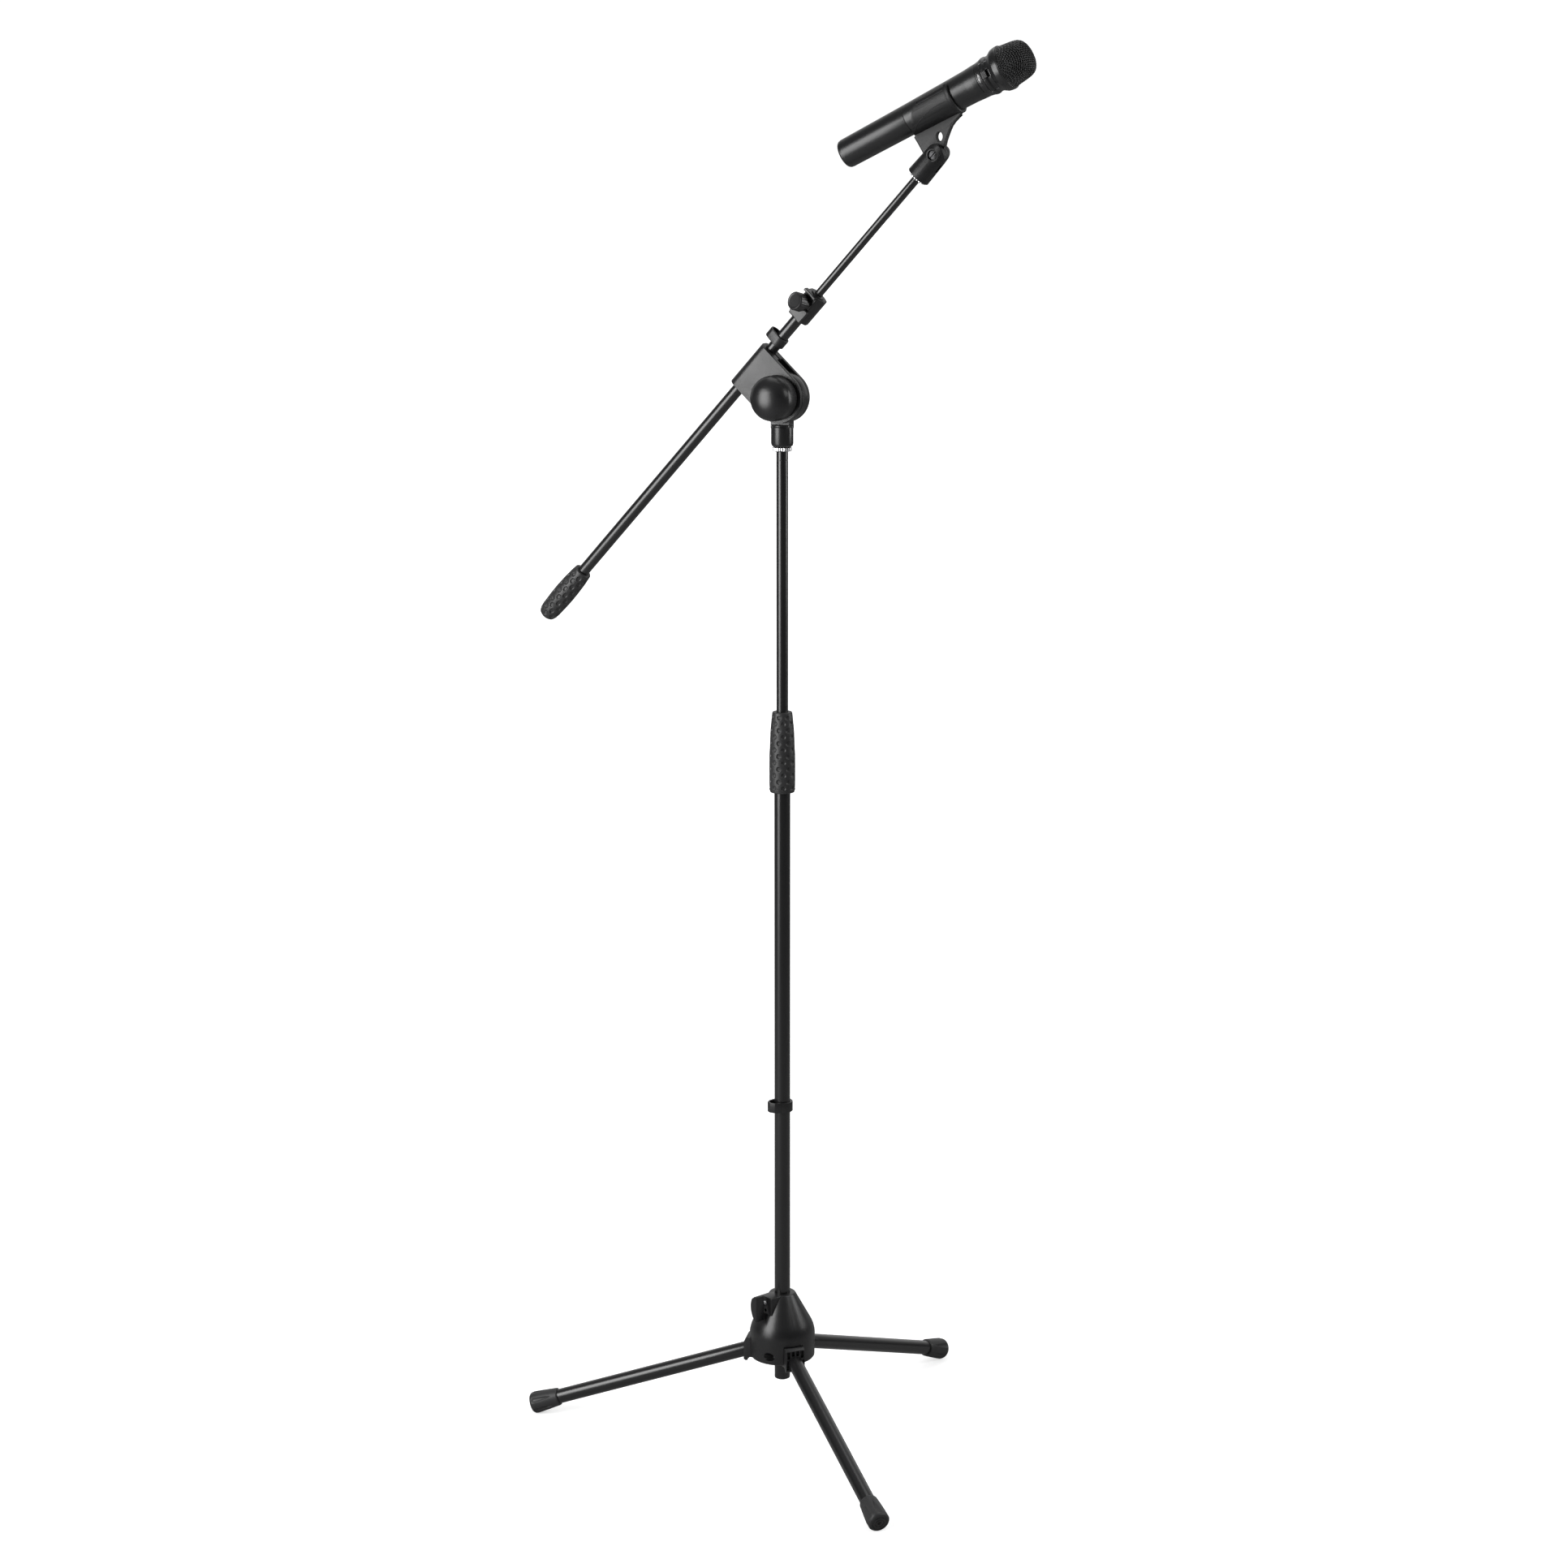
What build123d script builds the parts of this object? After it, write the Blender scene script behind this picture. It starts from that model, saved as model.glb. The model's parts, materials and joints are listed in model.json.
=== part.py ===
from build123d import *
import os
from math import sin, cos, tan, radians, sqrt

os.makedirs("parts", exist_ok=True)

# ---------------------------------------------------------------- dimensions
# All lengths in millimetres. Origin on the floor under the column, +Z up,
# the boom lies in the XZ plane with the microphone end towards +X.

# tripod base
hub_radius = 40.0
hub_bottom = 98.5
hub_top = 179.8
hub_top_radius = 15.9
hub_wall = 3.6
hub_boss_radius = 13.0
leg_azimuths = {"front": 316.5, "right": 75.0, "left": 195.8}
leg_slope = 18.575                 # degrees below horizontal
pin_r, pin_z = 28.0, 108.65      # leg pivot, distance from column axis and height
pin_radius = 2.5
slot_width = 25.0
slot_top = 122.4
holder_width = 24.0
leg_tube_radius = 9.0
leg_length = 300.5               # pivot to the end of the leg tube
foot_radius = 13.5
clamp_azimuth = 248.0
clamp_z = 172.2

# column
tube_radius = 9.5                # lower tube
tube_inner = 8.0
tube_bottom = 70.2
tube_top = 846.0
mast_radius = 6.9               # inner (upper) tube
mast_inner = 5.8
mast_bottom = 484.0
mast_top = 1209.0
stud_radius = 4.76               # 3/8 inch thread

# boom head
pivot_z = 1272.0
tang_radius = 29.6
tang_half = 6.3
head_half = 12.6                 # half the thickness of the clevis
gap_half = 7.2
boom_elevation = 47.1            # degrees above horizontal
boom_offset = 47.0               # pivot to boom axis
clevis_reach = 58.6              # pivot to the closed side of the clevis
knob_radius = 26.3

# boom
boom_radius = 7.0
boom_inner = 5.8
boom_rear = -412.0
rod_radius = 4.75
rod_inner = 3.25
rod_rear = -150.0
rod_front = 299.0
grip_front, grip_rear = -342.0, -421.0
block_rear, block_front = 80.0, 117.0
lock_t = 101.0

# microphone clip and microphone
clip_t = 332.0                   # clip pivot along the boom
mic_elevation = 25.9
mic_offset = 49.6                # clip pivot to microphone axis
web_half = 3.4
ear_half = 12.6
mic_rear_q, mic_seam_q, mic_collar_q = -102.0, -12.0, 85.0
grille_q, mic_front_q = 116.6, 147.0

running = 0.05                   # radial clearance of running fits

# ---------------------------------------------------------------- reference planes
phi = radians(boom_elevation)
u = Vector(cos(phi), 0, sin(phi))            # along the boom
m = Vector(-sin(phi), 0, cos(phi))           # from the pivot towards the boom axis
n = Vector(0, -1, 0)                         # towards the tilt knob side
pivot = Vector(0, 0, pivot_z)
foot_point = pivot + m * boom_offset         # point of the boom axis nearest the pivot
boom_plane = Plane(origin=foot_point, x_dir=m, z_dir=u)
boom_side = Plane(origin=foot_point, x_dir=u, z_dir=n)
boom_axis = Axis(foot_point, u)
head_side = Plane(origin=pivot, x_dir=u, z_dir=n)
tilt_axis = Axis(pivot, n)
tilt_section = Plane(origin=pivot, x_dir=n, z_dir=m)   # x along the tilt axis, y along -u

psi = radians(mic_elevation)
v = Vector(cos(psi), 0, sin(psi))            # along the microphone
w = Vector(-sin(psi), 0, cos(psi))           # from the clip pivot to the microphone axis
clip_pivot = foot_point + u * clip_t
mic_origin = clip_pivot + w * mic_offset
clip_side = Plane(origin=clip_pivot, x_dir=v, z_dir=n)
mic_plane = Plane(origin=mic_origin, x_dir=w, z_dir=v)
mic_side = Plane(origin=mic_origin, x_dir=v, z_dir=n)
mic_axis = Axis(mic_origin, v)


def profile(plane, points):
    """A closed straight-sided face on a plane."""
    with BuildSketch(plane) as face:
        with BuildLine():
            Polyline(*points, close=True)
        make_face()
    return face.sketch


# ---------------------------------------------------------------- hub
with BuildPart() as pockets:
    revolve(profile(Plane.XZ, [(hub_boss_radius, hub_bottom - 2), (hub_radius - hub_wall, hub_bottom - 2),
                               (hub_radius - hub_wall, 129), (32.5, 141), (22, 163), (hub_boss_radius, 166)]),
            axis=Axis.Z)
    for angle in leg_azimuths.values():
        # cheeks and ceiling that carry each leg holder stay solid
        radial = Plane(origin=(0, 0, 0), x_dir=(cos(radians(angle)), sin(radians(angle)), 0), z_dir=(0, 0, 1))
        with BuildSketch(radial.offset(hub_bottom - 5)):
            with Locations((21, 0)):
                Rectangle(46, 33)
        extrude(amount=slot_top + 4 - hub_bottom + 5, mode=Mode.SUBTRACT)

with BuildPart() as hub_casting:
    revolve(profile(Plane.XZ, [(0, hub_bottom), (38.4, hub_bottom), (39.6, hub_bottom + 1.6), (hub_radius, 116.5),
                               (hub_radius, 129), (39.5, 133), (38.2, 138), (36.2, 143), (hub_top_radius + 0.8, hub_top - 1.8),
                               (hub_top_radius, hub_top - 0.6), (hub_top_radius - 0.6, hub_top), (0, hub_top)]),
            axis=Axis.Z)
    clamp_dir = Vector(cos(radians(clamp_azimuth)), sin(radians(clamp_azimuth)), 0)
    boss_plane = Plane(origin=(0, 0, 0), x_dir=clamp_dir, z_dir=(0, 0, 1))
    with BuildSketch(boss_plane.offset(hub_top)):
        with Locations((17.25, 0)):
            Rectangle(20.5, 17)
    extrude(amount=-26.3)
    add(pockets.part, mode=Mode.SUBTRACT)
    # bore for the column
    with BuildSketch(Plane.XY.offset(hub_bottom - 5)):
        Circle(tube_radius + running)
    extrude(amount=100, mode=Mode.SUBTRACT)
    # clamp screw hole and the small blind hole under it
    with BuildSketch(Plane(origin=clamp_dir * 8.5 + Vector(0, 0, clamp_z), x_dir=(0, 0, 1), z_dir=clamp_dir)):
        Circle(3.0)
    extrude(amount=30, mode=Mode.SUBTRACT)
    with BuildSketch(Plane(origin=clamp_dir * 34 + Vector(0, 0, clamp_z - 9.4), x_dir=(0, 0, 1), z_dir=clamp_dir)):
        Circle(2.0)
    extrude(amount=-12, mode=Mode.SUBTRACT)
    for angle in leg_azimuths.values():
        e_r = Vector(cos(radians(angle)), sin(radians(angle)), 0)
        e_t = Vector(-sin(radians(angle)), cos(radians(angle)), 0)
        radial = Plane(origin=(0, 0, 0), x_dir=e_r, z_dir=(0, 0, 1))
        with BuildSketch(radial.offset(hub_bottom - 5)):
            with Locations((hub_boss_radius + 20, 0)):
                Rectangle(40, slot_width)
        extrude(amount=slot_top - hub_bottom + 5, mode=Mode.SUBTRACT)
        # pin bore and the access bores at its two ends
        pin_plane = Plane(origin=e_r * pin_r + Vector(0, 0, pin_z), x_dir=e_r, z_dir=e_t)
        with BuildSketch(pin_plane):
            Circle(pin_radius)
        extrude(amount=40, both=True, mode=Mode.SUBTRACT)
        with BuildSketch(pin_plane.offset(16.5), pin_plane.offset(-16.5 - 25)):
            Circle(5.2)
        extrude(amount=25, mode=Mode.SUBTRACT)
hub_casting.part.label = "hub_casting"
export_step(hub_casting.part, "parts/hub_casting.step")

with BuildPart() as leg_pivot_pins:
    for angle in leg_azimuths.values():
        e_r = Vector(cos(radians(angle)), sin(radians(angle)), 0)
        e_t = Vector(-sin(radians(angle)), cos(radians(angle)), 0)
        with BuildSketch(Plane(origin=e_r * pin_r + Vector(0, 0, pin_z) - e_t * 17.5, x_dir=e_r, z_dir=e_t)):
            Circle(pin_radius)
        extrude(amount=35)
leg_pivot_pins.part.label = "leg_pivot_pins"
export_step(leg_pivot_pins.part, "parts/leg_pivot_pins.step")

clamp_plane = Plane(origin=clamp_dir * 0 + Vector(0, 0, clamp_z), x_dir=(0, 0, 1), z_dir=clamp_dir)
with BuildPart() as base_clamp_pad:
    with BuildSketch(clamp_plane.offset(9.9)):
        Circle(3.0)
    extrude(amount=3.0)
base_clamp_pad.part.label = "base_clamp_pad"
export_step(base_clamp_pad.part, "parts/base_clamp_pad.step")

with BuildPart() as base_clamp_screw:
    with BuildSketch(clamp_plane.offset(13.3)):
        Circle(3.0 - running)
    extrude(amount=26.2)
base_clamp_screw.part.label = "base_clamp_screw"
export_step(base_clamp_screw.part, "parts/base_clamp_screw.step")

# paddle knob: a half-moon handle, one flat side, its flat end face away from the column
paddle = Plane(origin=Vector(0, 0, clamp_z), x_dir=Vector(0, 0, 1).cross(clamp_dir), z_dir=clamp_dir)
with BuildPart() as base_clamp_knob:
    with BuildSketch(paddle.offset(33.8)):
        with BuildLine():
            Line((4.5, 9.5), (4.5, -17.9))
            Spline((4.5, -17.9), (1.5, -17.2), (-2.6, -12.2), (-4.8, -5.7), (-5.1, -0.2), (-3.6, 6.0), (0.5, 9.2),
                   (4.5, 9.5))
        make_face()
    extrude(amount=12.8)
    with BuildSketch(paddle.offset(33.8)):
        Circle(3.0 - running)
    extrude(amount=5.7, mode=Mode.SUBTRACT)
base_clamp_knob.part.label = "base_clamp_knob"
export_step(base_clamp_knob.part, "parts/base_clamp_knob.step")

# ---------------------------------------------------------------- legs
slope = radians(leg_slope)
foot_start = 269.5
foot_end = 306.5
for side, angle in leg_azimuths.items():
    e_r = Vector(cos(radians(angle)), sin(radians(angle)), 0)
    e_t = Vector(-sin(radians(angle)), cos(radians(angle)), 0)
    hinge = e_r * pin_r + Vector(0, 0, pin_z)
    d = e_r * cos(slope) + Vector(0, 0, -sin(slope))
    side_plane = Plane(origin=(0, 0, 0), x_dir=e_r, z_dir=e_t * -1)     # local x = radius, local y = height
    leg_section = Plane(origin=hinge, x_dir=d, z_dir=e_t * -1)          # local x along the leg
    leg_cross = Plane(origin=hinge, x_dir=e_t, z_dir=d)
    leg_axis = Axis(hinge, d)

    with BuildPart() as leg_holder:
        with BuildSketch(side_plane):
            with Locations((pin_r, pin_z)):
                Circle(12.6)
            with BuildLine():
                Polyline((pin_r, pin_z + 12.6), (40.7, pin_z + 12.6), (40.7, 121.0), (42.4, 121.6), (44.4, 119.8),
                         (46.2, 115.6), (46.2, 93.6), (44.0, 92.0), (41.6, 92.4), (40.7, 94.4),
                         (38.6, pin_z - 12.2), (pin_r, pin_z - 12.6), close=True)
            make_face()
        extrude(amount=holder_width / 2, both=True)
        with BuildSketch(leg_cross.offset(9.0)):
            Circle(leg_tube_radius)
        extrude(amount=40, mode=Mode.SUBTRACT)
        with BuildSketch(Plane(origin=hinge, x_dir=e_r, z_dir=e_t)):
            Circle(pin_radius + running)
        extrude(amount=20, both=True, mode=Mode.SUBTRACT)
    leg_holder.part.label = f"leg_holder_{side}"
    export_step(leg_holder.part, f"parts/leg_holder_{side}.step")

    with BuildPart() as leg_tube:
        with BuildSketch(leg_cross.offset(9.0)):
            Circle(leg_tube_radius)
            Circle(leg_tube_radius - 1.1, mode=Mode.SUBTRACT)
        extrude(amount=leg_length - 9.0)
    leg_tube.part.label = f"leg_tube_{side}"
    export_step(leg_tube.part, f"parts/leg_tube_{side}.step")

    with BuildPart() as leg_foot:
        revolve(profile(leg_section, [(foot_start, leg_tube_radius), (foot_start, 11.3), (foot_start + 3, 11.5),
                                      (foot_start + 16, 12.4), (foot_start + 28, 13.4), (foot_start + 31, 13.5),
                                      (foot_start + 34, 13.0), (foot_start + 36, 11.8), (foot_end, 10.2),
                                      (foot_end, 0), (leg_length, 0), (leg_length, leg_tube_radius)]),
                axis=leg_axis)
        # worn flat that rests on the floor
        with BuildSketch(Plane(origin=e_r * 320, z_dir=(0, 0, 1))):
            Rectangle(90, 90)
        extrude(amount=-20, mode=Mode.SUBTRACT)
    leg_foot.part.label = f"leg_foot_{side}"
    export_step(leg_foot.part, f"parts/leg_foot_{side}.step")

# ---------------------------------------------------------------- column
with BuildPart() as lower_tube:
    with BuildSketch(Plane.XY.offset(tube_bottom)):
        Circle(tube_radius)
        Circle(tube_inner, mode=Mode.SUBTRACT)
    extrude(amount=tube_top - tube_bottom)
lower_tube.part.label = "lower_tube"
export_step(lower_tube.part, "parts/lower_tube.step")

with BuildPart() as tube_end_plug:
    revolve(profile(Plane.XZ, [(0, 68.2), (7.6, 68.2), (9.0, 68.8), (tube_radius, tube_bottom), (tube_inner, tube_bottom),
                               (tube_inner, 84), (6.4, 84), (6.4, 72.2), (0, 72.2)]), axis=Axis.Z)
tube_end_plug.part.label = "tube_end_plug"
export_step(tube_end_plug.part, "parts/tube_end_plug.step")

# threaded collar fixed on the tube's top
with BuildPart() as clutch_collar:
    revolve(profile(Plane.XZ, [(tube_radius, 812), (11.6, 812), (11.6, 866), (9.6, 866), (9.6, tube_top),
                               (tube_radius, tube_top)]), axis=Axis.Z)
clutch_collar.part.label = "clutch_collar"
export_step(clutch_collar.part, "parts/clutch_collar.step")

# collet around the mast, slit three ways
with BuildPart() as clutch_collet:
    revolve(profile(Plane.XZ, [(mast_radius + running, tube_top), (9.6, tube_top), (9.6, 866), (10.4, 866), (10.4, 869),
                               (8.3, 882), (mast_radius + running, 882)]), axis=Axis.Z)
    with BuildSketch(Plane.XY.offset(868)):
        for a in (0, 60, 120):
            with Locations(Rotation(0, 0, a)):
                Rectangle(30, 1.0)
    extrude(amount=20, mode=Mode.SUBTRACT)
clutch_collet.part.label = "clutch_collet"
export_step(clutch_collet.part, "parts/clutch_collet.step")

with BuildPart() as clutch_grip:
    revolve(profile(Plane.XZ, [(11.65, 805.2), (14.0, 805.2), (14.6, 806.0), (15.3, 812), (15.4, 820), (15.4, 840),
                               (15.3, 850), (14.7, 862), (14.3, 875), (13.5, 886), (12.4, 897), (11.9, 901),
                               (11.2, 902), (7.2, 902), (7.2, 884.5), (9.2, 883), (11.65, 870)]), axis=Axis.Z)
clutch_grip.part.label = "clutch_grip"
export_step(clutch_grip.part, "parts/clutch_grip.step")

# cable clip on the column: one closed band around the tube and a cable space beside it
clip_dir = radians(231)
band = Plane(origin=(0, 0, 411.5), x_dir=(cos(clip_dir), sin(clip_dir), 0), z_dir=(0, 0, 1))
with BuildPart() as column_cable_clip:
    with BuildSketch(band):
        with BuildLine():
            Polyline((-1.5, 12.6), (7, 11.4), (14.0, 8.6), (18.3, 3.2), (18.3, -3.2), (14.0, -8.6), (7, -11.4),
                     (-1.5, -12.6), close=True)
        make_face()
        Circle(12.7)
        Circle(tube_radius + running, mode=Mode.SUBTRACT)
        with BuildLine():
            Polyline((6.0, 8.2), (12.9, 6.6), (16.3, 2.6), (16.3, -2.6), (12.9, -6.6), (6.0, -8.2), close=True)
        make_face(mode=Mode.SUBTRACT)
    extrude(amount=12)
    fillet(column_cable_clip.edges().filter_by(Axis.Z).sort_by(Axis((0, 0, 0), (cos(clip_dir), sin(clip_dir), 0)))[-2:],
           radius=1.2)
column_cable_clip.part.label = "column_cable_clip"
export_step(column_cable_clip.part, "parts/column_cable_clip.step")

with BuildPart() as mast_guide_bush:
    revolve(profile(Plane.XZ, [(0, mast_bottom - 6), (7.4, mast_bottom - 6), (tube_inner - running, mast_bottom - 5),
                               (tube_inner - running, mast_bottom + 16), (mast_radius + running, mast_bottom + 16),
                               (mast_radius + running, mast_bottom - 0.4), (4.4, mast_bottom - 0.4),
                               (4.4, mast_bottom - 3), (0, mast_bottom - 3)]), axis=Axis.Z)
mast_guide_bush.part.label = "mast_guide_bush"
export_step(mast_guide_bush.part, "parts/mast_guide_bush.step")

with BuildPart() as upper_tube:
    with BuildSketch(Plane.XY.offset(mast_bottom)):
        Circle(mast_radius)
        Circle(mast_inner, mode=Mode.SUBTRACT)
    extrude(amount=mast_top - mast_bottom)
upper_tube.part.label = "upper_tube"
export_step(upper_tube.part, "parts/upper_tube.step")

with BuildPart() as mast_stud:
    revolve(profile(Plane.XZ, [(0, mast_top - 22), (mast_inner, mast_top - 22), (mast_inner, mast_top),
                               (stud_radius, mast_top), (stud_radius, 1231.2), (4.0, 1232), (0, 1232)]), axis=Axis.Z)
mast_stud.part.label = "mast_stud"
export_step(mast_stud.part, "parts/mast_stud.step")

with BuildPart() as lock_ring:
    revolve(profile(Plane.XZ, [(stud_radius + running, 1209.3), (10.6, 1209.3), (11.4, 1210.0), (11.4, 1213.7),
                               (10.6, 1214.4), (stud_radius + running, 1214.4)]), axis=Axis.Z)
lock_ring.part.label = "lock_ring"
export_step(lock_ring.part, "parts/lock_ring.step")

# cast head: socket below, round tang above
with BuildPart() as swivel_socket:
    revolve(profile(Plane.XZ, [(0, 1214.7), (10.6, 1214.7), (12.4, 1216.2), (13.0, 1218.6), (13.0, 1237.2),
                               (12.3, 1238.2), (12.3, 1239.4), (13.0, 1240.0), (12.6, 1240.5), (0, 1240.5)]),
            axis=Axis.Z)
    with BuildSketch(head_side):
        Circle(tang_radius)
    extrude(amount=tang_half, both=True)
    with BuildSketch(Plane.XY.offset(1236)):
        Rectangle(24, 2 * tang_half)
    extrude(amount=16)
    with BuildSketch(head_side):
        Circle(4.0 + running)
    extrude(amount=20, both=True, mode=Mode.SUBTRACT)
    with BuildSketch(Plane.XY.offset(1214)):
        Circle(7.2)
    extrude(amount=20, mode=Mode.SUBTRACT)
swivel_socket.part.label = "swivel_socket"
export_step(swivel_socket.part, "parts/swivel_socket.step")

with BuildPart() as swivel_thread_insert:
    with BuildSketch(Plane.XY.offset(1214.7)):
        Circle(7.2)
        Circle(stud_radius, mode=Mode.SUBTRACT)
    extrude(amount=19.3)
swivel_thread_insert.part.label = "swivel_thread_insert"
export_step(swivel_thread_insert.part, "parts/swivel_thread_insert.step")

# ---------------------------------------------------------------- boom head
with BuildPart() as boom_clevis:
    with BuildSketch(head_side):
        Circle(tang_radius)
        with Locations((0, (clevis_reach) / 2)):
            Rectangle(2 * tang_radius, clevis_reach)
    extrude(amount=head_half, both=True)
    # rounded closed side around the boom tube
    closed_edges = boom_clevis.edges().filter_by(Axis((0, 0, 0), u)).sort_by(Axis((0, 0, 0), m))[-2:]
    fillet(closed_edges, radius=9.5)
    # gap for the tang, then a narrow slit up to the boom bore
    gap_plane = Plane(origin=pivot, x_dir=m, z_dir=u)        # local x = m, local y = n
    with BuildSketch(gap_plane):
        with Locations((-0.5, 0)):
            Rectangle(65, 2 * gap_half)
        with Locations((38, 0)):
            Rectangle(14, 3.0)
    extrude(amount=60, both=True, mode=Mode.SUBTRACT)
    with BuildSketch(boom_plane):
        Circle(boom_radius + running)
    extrude(amount=60, both=True, mode=Mode.SUBTRACT)
    with BuildSketch(head_side):
        Circle(4.0)
    extrude(amount=30, both=True, mode=Mode.SUBTRACT)
boom_clevis.part.label = "boom_clevis"
export_step(boom_clevis.part, "parts/boom_clevis.step")

with BuildPart() as friction_discs:
    with BuildSketch(head_side.offset(gap_half - 0.6), head_side.offset(-gap_half)):
        Circle(27.5)
        Circle(4.0, mode=Mode.SUBTRACT)
    extrude(amount=0.6)
friction_discs.part.label = "friction_discs"
export_step(friction_discs.part, "parts/friction_discs.step")

# carriage bolt through the head; its low domed head sits on the far plate
with BuildPart() as pivot_bolt:
    revolve(profile(tilt_section, [(-17.3, 0), (-16.9, 4.0), (-15.7, 7.0), (-13.9, 8.6), (-head_half, 9.0),
                                   (-head_half, 4.0), (34.0, 4.0), (34.0, 0)]), axis=tilt_axis)
pivot_bolt.part.label = "pivot_bolt"
export_step(pivot_bolt.part, "parts/pivot_bolt.step")

with BuildPart() as pivot_washer:
    with BuildSketch(head_side.offset(head_half)):
        Circle(11.0)
        Circle(4.0, mode=Mode.SUBTRACT)
    extrude(amount=1.7)
pivot_washer.part.label = "pivot_washer"
export_step(pivot_washer.part, "parts/pivot_washer.step")

with BuildPart() as tilt_knob:
    revolve(profile(tilt_section, [(14.6, 10.0), (14.6, 24.8), (15.4, knob_radius), (27.6, knob_radius), (29.2, 25.8),
                                   (32.5, 24.8), (36.5, 22.4), (40.0, 18.8), (43.0, 14.0), (45.0, 8.0), (45.7, 0),
                                   (42.0, 0), (40.6, 6.0), (36.0, 6.0), (36.0, 8.0), (18.0, 8.0), (18.0, 10.0)]),
            axis=tilt_axis)
tilt_knob.part.label = "tilt_knob"
export_step(tilt_knob.part, "parts/tilt_knob.step")

with BuildPart() as tilt_knob_insert:
    revolve(profile(tilt_section, [(14.6, 4.0 + running), (14.6, 10.0), (18.0, 10.0), (18.0, 8.0), (36.0, 8.0),
                                   (36.0, 4.0 + running)]), axis=tilt_axis)
tilt_knob_insert.part.label = "tilt_knob_insert"
export_step(tilt_knob_insert.part, "parts/tilt_knob_insert.step")

# ---------------------------------------------------------------- boom
knob_out = n * 0.94 + m * 0.3412                   # outward direction of the rod lock knob
lock_plane = Plane(origin=foot_point + u * lock_t, x_dir=u, z_dir=knob_out)

with BuildPart() as boom_rear_tube:
    with BuildSketch(boom_plane.offset(boom_rear)):
        Circle(boom_radius)
        Circle(boom_inner, mode=Mode.SUBTRACT)
    extrude(amount=110 - boom_rear)
    with BuildSketch(lock_plane):
        Circle(3.4)
    extrude(amount=12, mode=Mode.SUBTRACT)
boom_rear_tube.part.label = "boom_rear_tube"
export_step(boom_rear_tube.part, "parts/boom_rear_tube.step")

with BuildPart() as boom_end_plug:
    with BuildSketch(boom_plane.offset(boom_rear)):
        Circle(boom_inner)
    extrude(amount=12)
boom_end_plug.part.label = "boom_end_plug"
export_step(boom_end_plug.part, "parts/boom_end_plug.step")

with BuildPart() as boom_grip:
    revolve(profile(boom_side, [(grip_front, boom_radius), (grip_front, 10.4), (-343.5, 10.95), (-352, 11.9),
                                (-362, 12.6), (-372, 13.0), (-380, 13.2), (-389, 13.1), (-399, 12.65), (-408, 12.25),
                                (-414, 11.45), (-418.2, 9.6), (-420.4, 6.4), (grip_rear, 3.0), (grip_rear, 0),
                                (boom_rear, 0), (boom_rear, boom_radius)]), axis=boom_axis)
boom_grip.part.label = "boom_grip"
export_step(boom_grip.part, "parts/boom_grip.step")

# cable clip on the boom: a band around the tube with its cable space on the side away from the pivot
with BuildPart() as boom_cable_clip:
    with BuildSketch(boom_plane.offset(39.6)):
        with BuildLine():
            Polyline((0, 9.2), (6, 9.0), (13.5, 7.6), (17.2, 3.6), (17.2, -3.6), (13.5, -7.6), (6, -9.0), (0, -9.2),
                     close=True)
        make_face()
        Circle(9.2)
        Circle(boom_radius + running, mode=Mode.SUBTRACT)
        with BuildLine():
            Polyline((4, 6.9), (12.4, 5.9), (15.2, 2.9), (15.2, -2.9), (12.4, -5.9), (4, -6.9), close=True)
        make_face(mode=Mode.SUBTRACT)
        # snap-in slot on the far side
        with Locations((10.2, -8)):
            Rectangle(6.4, 8, mode=Mode.SUBTRACT)
    extrude(amount=11.4)
boom_cable_clip.part.label = "boom_cable_clip"
export_step(boom_cable_clip.part, "parts/boom_cable_clip.step")

# clamp block for the front rod: square body, split clamp lips on the knob side
with BuildPart() as boom_lock_block:
    with BuildSketch(boom_plane.offset(block_rear)):
        with BuildLine():
            Polyline((-13.2, 4.0), (-11.2, 9.6), (-5.0, 12.6), (4.0, 13.0), (10.2, 11.4), (13.0, 7.0), (13.0, -6.0),
                     (10.0, -11.0), (2.0, -13.0), (-8.0, -12.2), (-12.6, -6.0), close=True)
        make_face()
    extrude(amount=block_front - block_rear)
    with BuildSketch(boom_plane.offset(block_rear)):
        Circle(boom_radius)
    extrude(amount=110 - block_rear, mode=Mode.SUBTRACT)
    with BuildSketch(boom_plane.offset(109)):
        Circle(rod_radius + running)
    extrude(amount=20, mode=Mode.SUBTRACT)
    # pointed lip under the knob
    with BuildSketch(lock_plane.offset(11.0)):
        with BuildLine():
            Polyline((9.0, -9.0), (9.0, 9.0), (-14.0, 9.0), (-24.0, 2.0), (-24.0, -2.0), (-14.0, -9.0), close=True)
        make_face()
    extrude(amount=3.6)
    with BuildSketch(lock_plane.offset(4.0)):
        Circle(5.0)
    extrude(amount=20, mode=Mode.SUBTRACT)
boom_lock_block.part.label = "boom_lock_block"
export_step(boom_lock_block.part, "parts/boom_lock_block.step")

with BuildPart() as boom_lock_insert:
    with BuildSketch(lock_plane.offset(7.4)):
        Circle(5.0)
        Circle(3.0, mode=Mode.SUBTRACT)
    extrude(amount=7.2)
boom_lock_insert.part.label = "boom_lock_insert"
export_step(boom_lock_insert.part, "parts/boom_lock_insert.step")

with BuildPart() as boom_lock_screw:
    with BuildSketch(lock_plane.offset(5.1)):
        Circle(3.0 - running)
    extrude(amount=16.5)
boom_lock_screw.part.label = "boom_lock_screw"
export_step(boom_lock_screw.part, "parts/boom_lock_screw.step")

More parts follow.
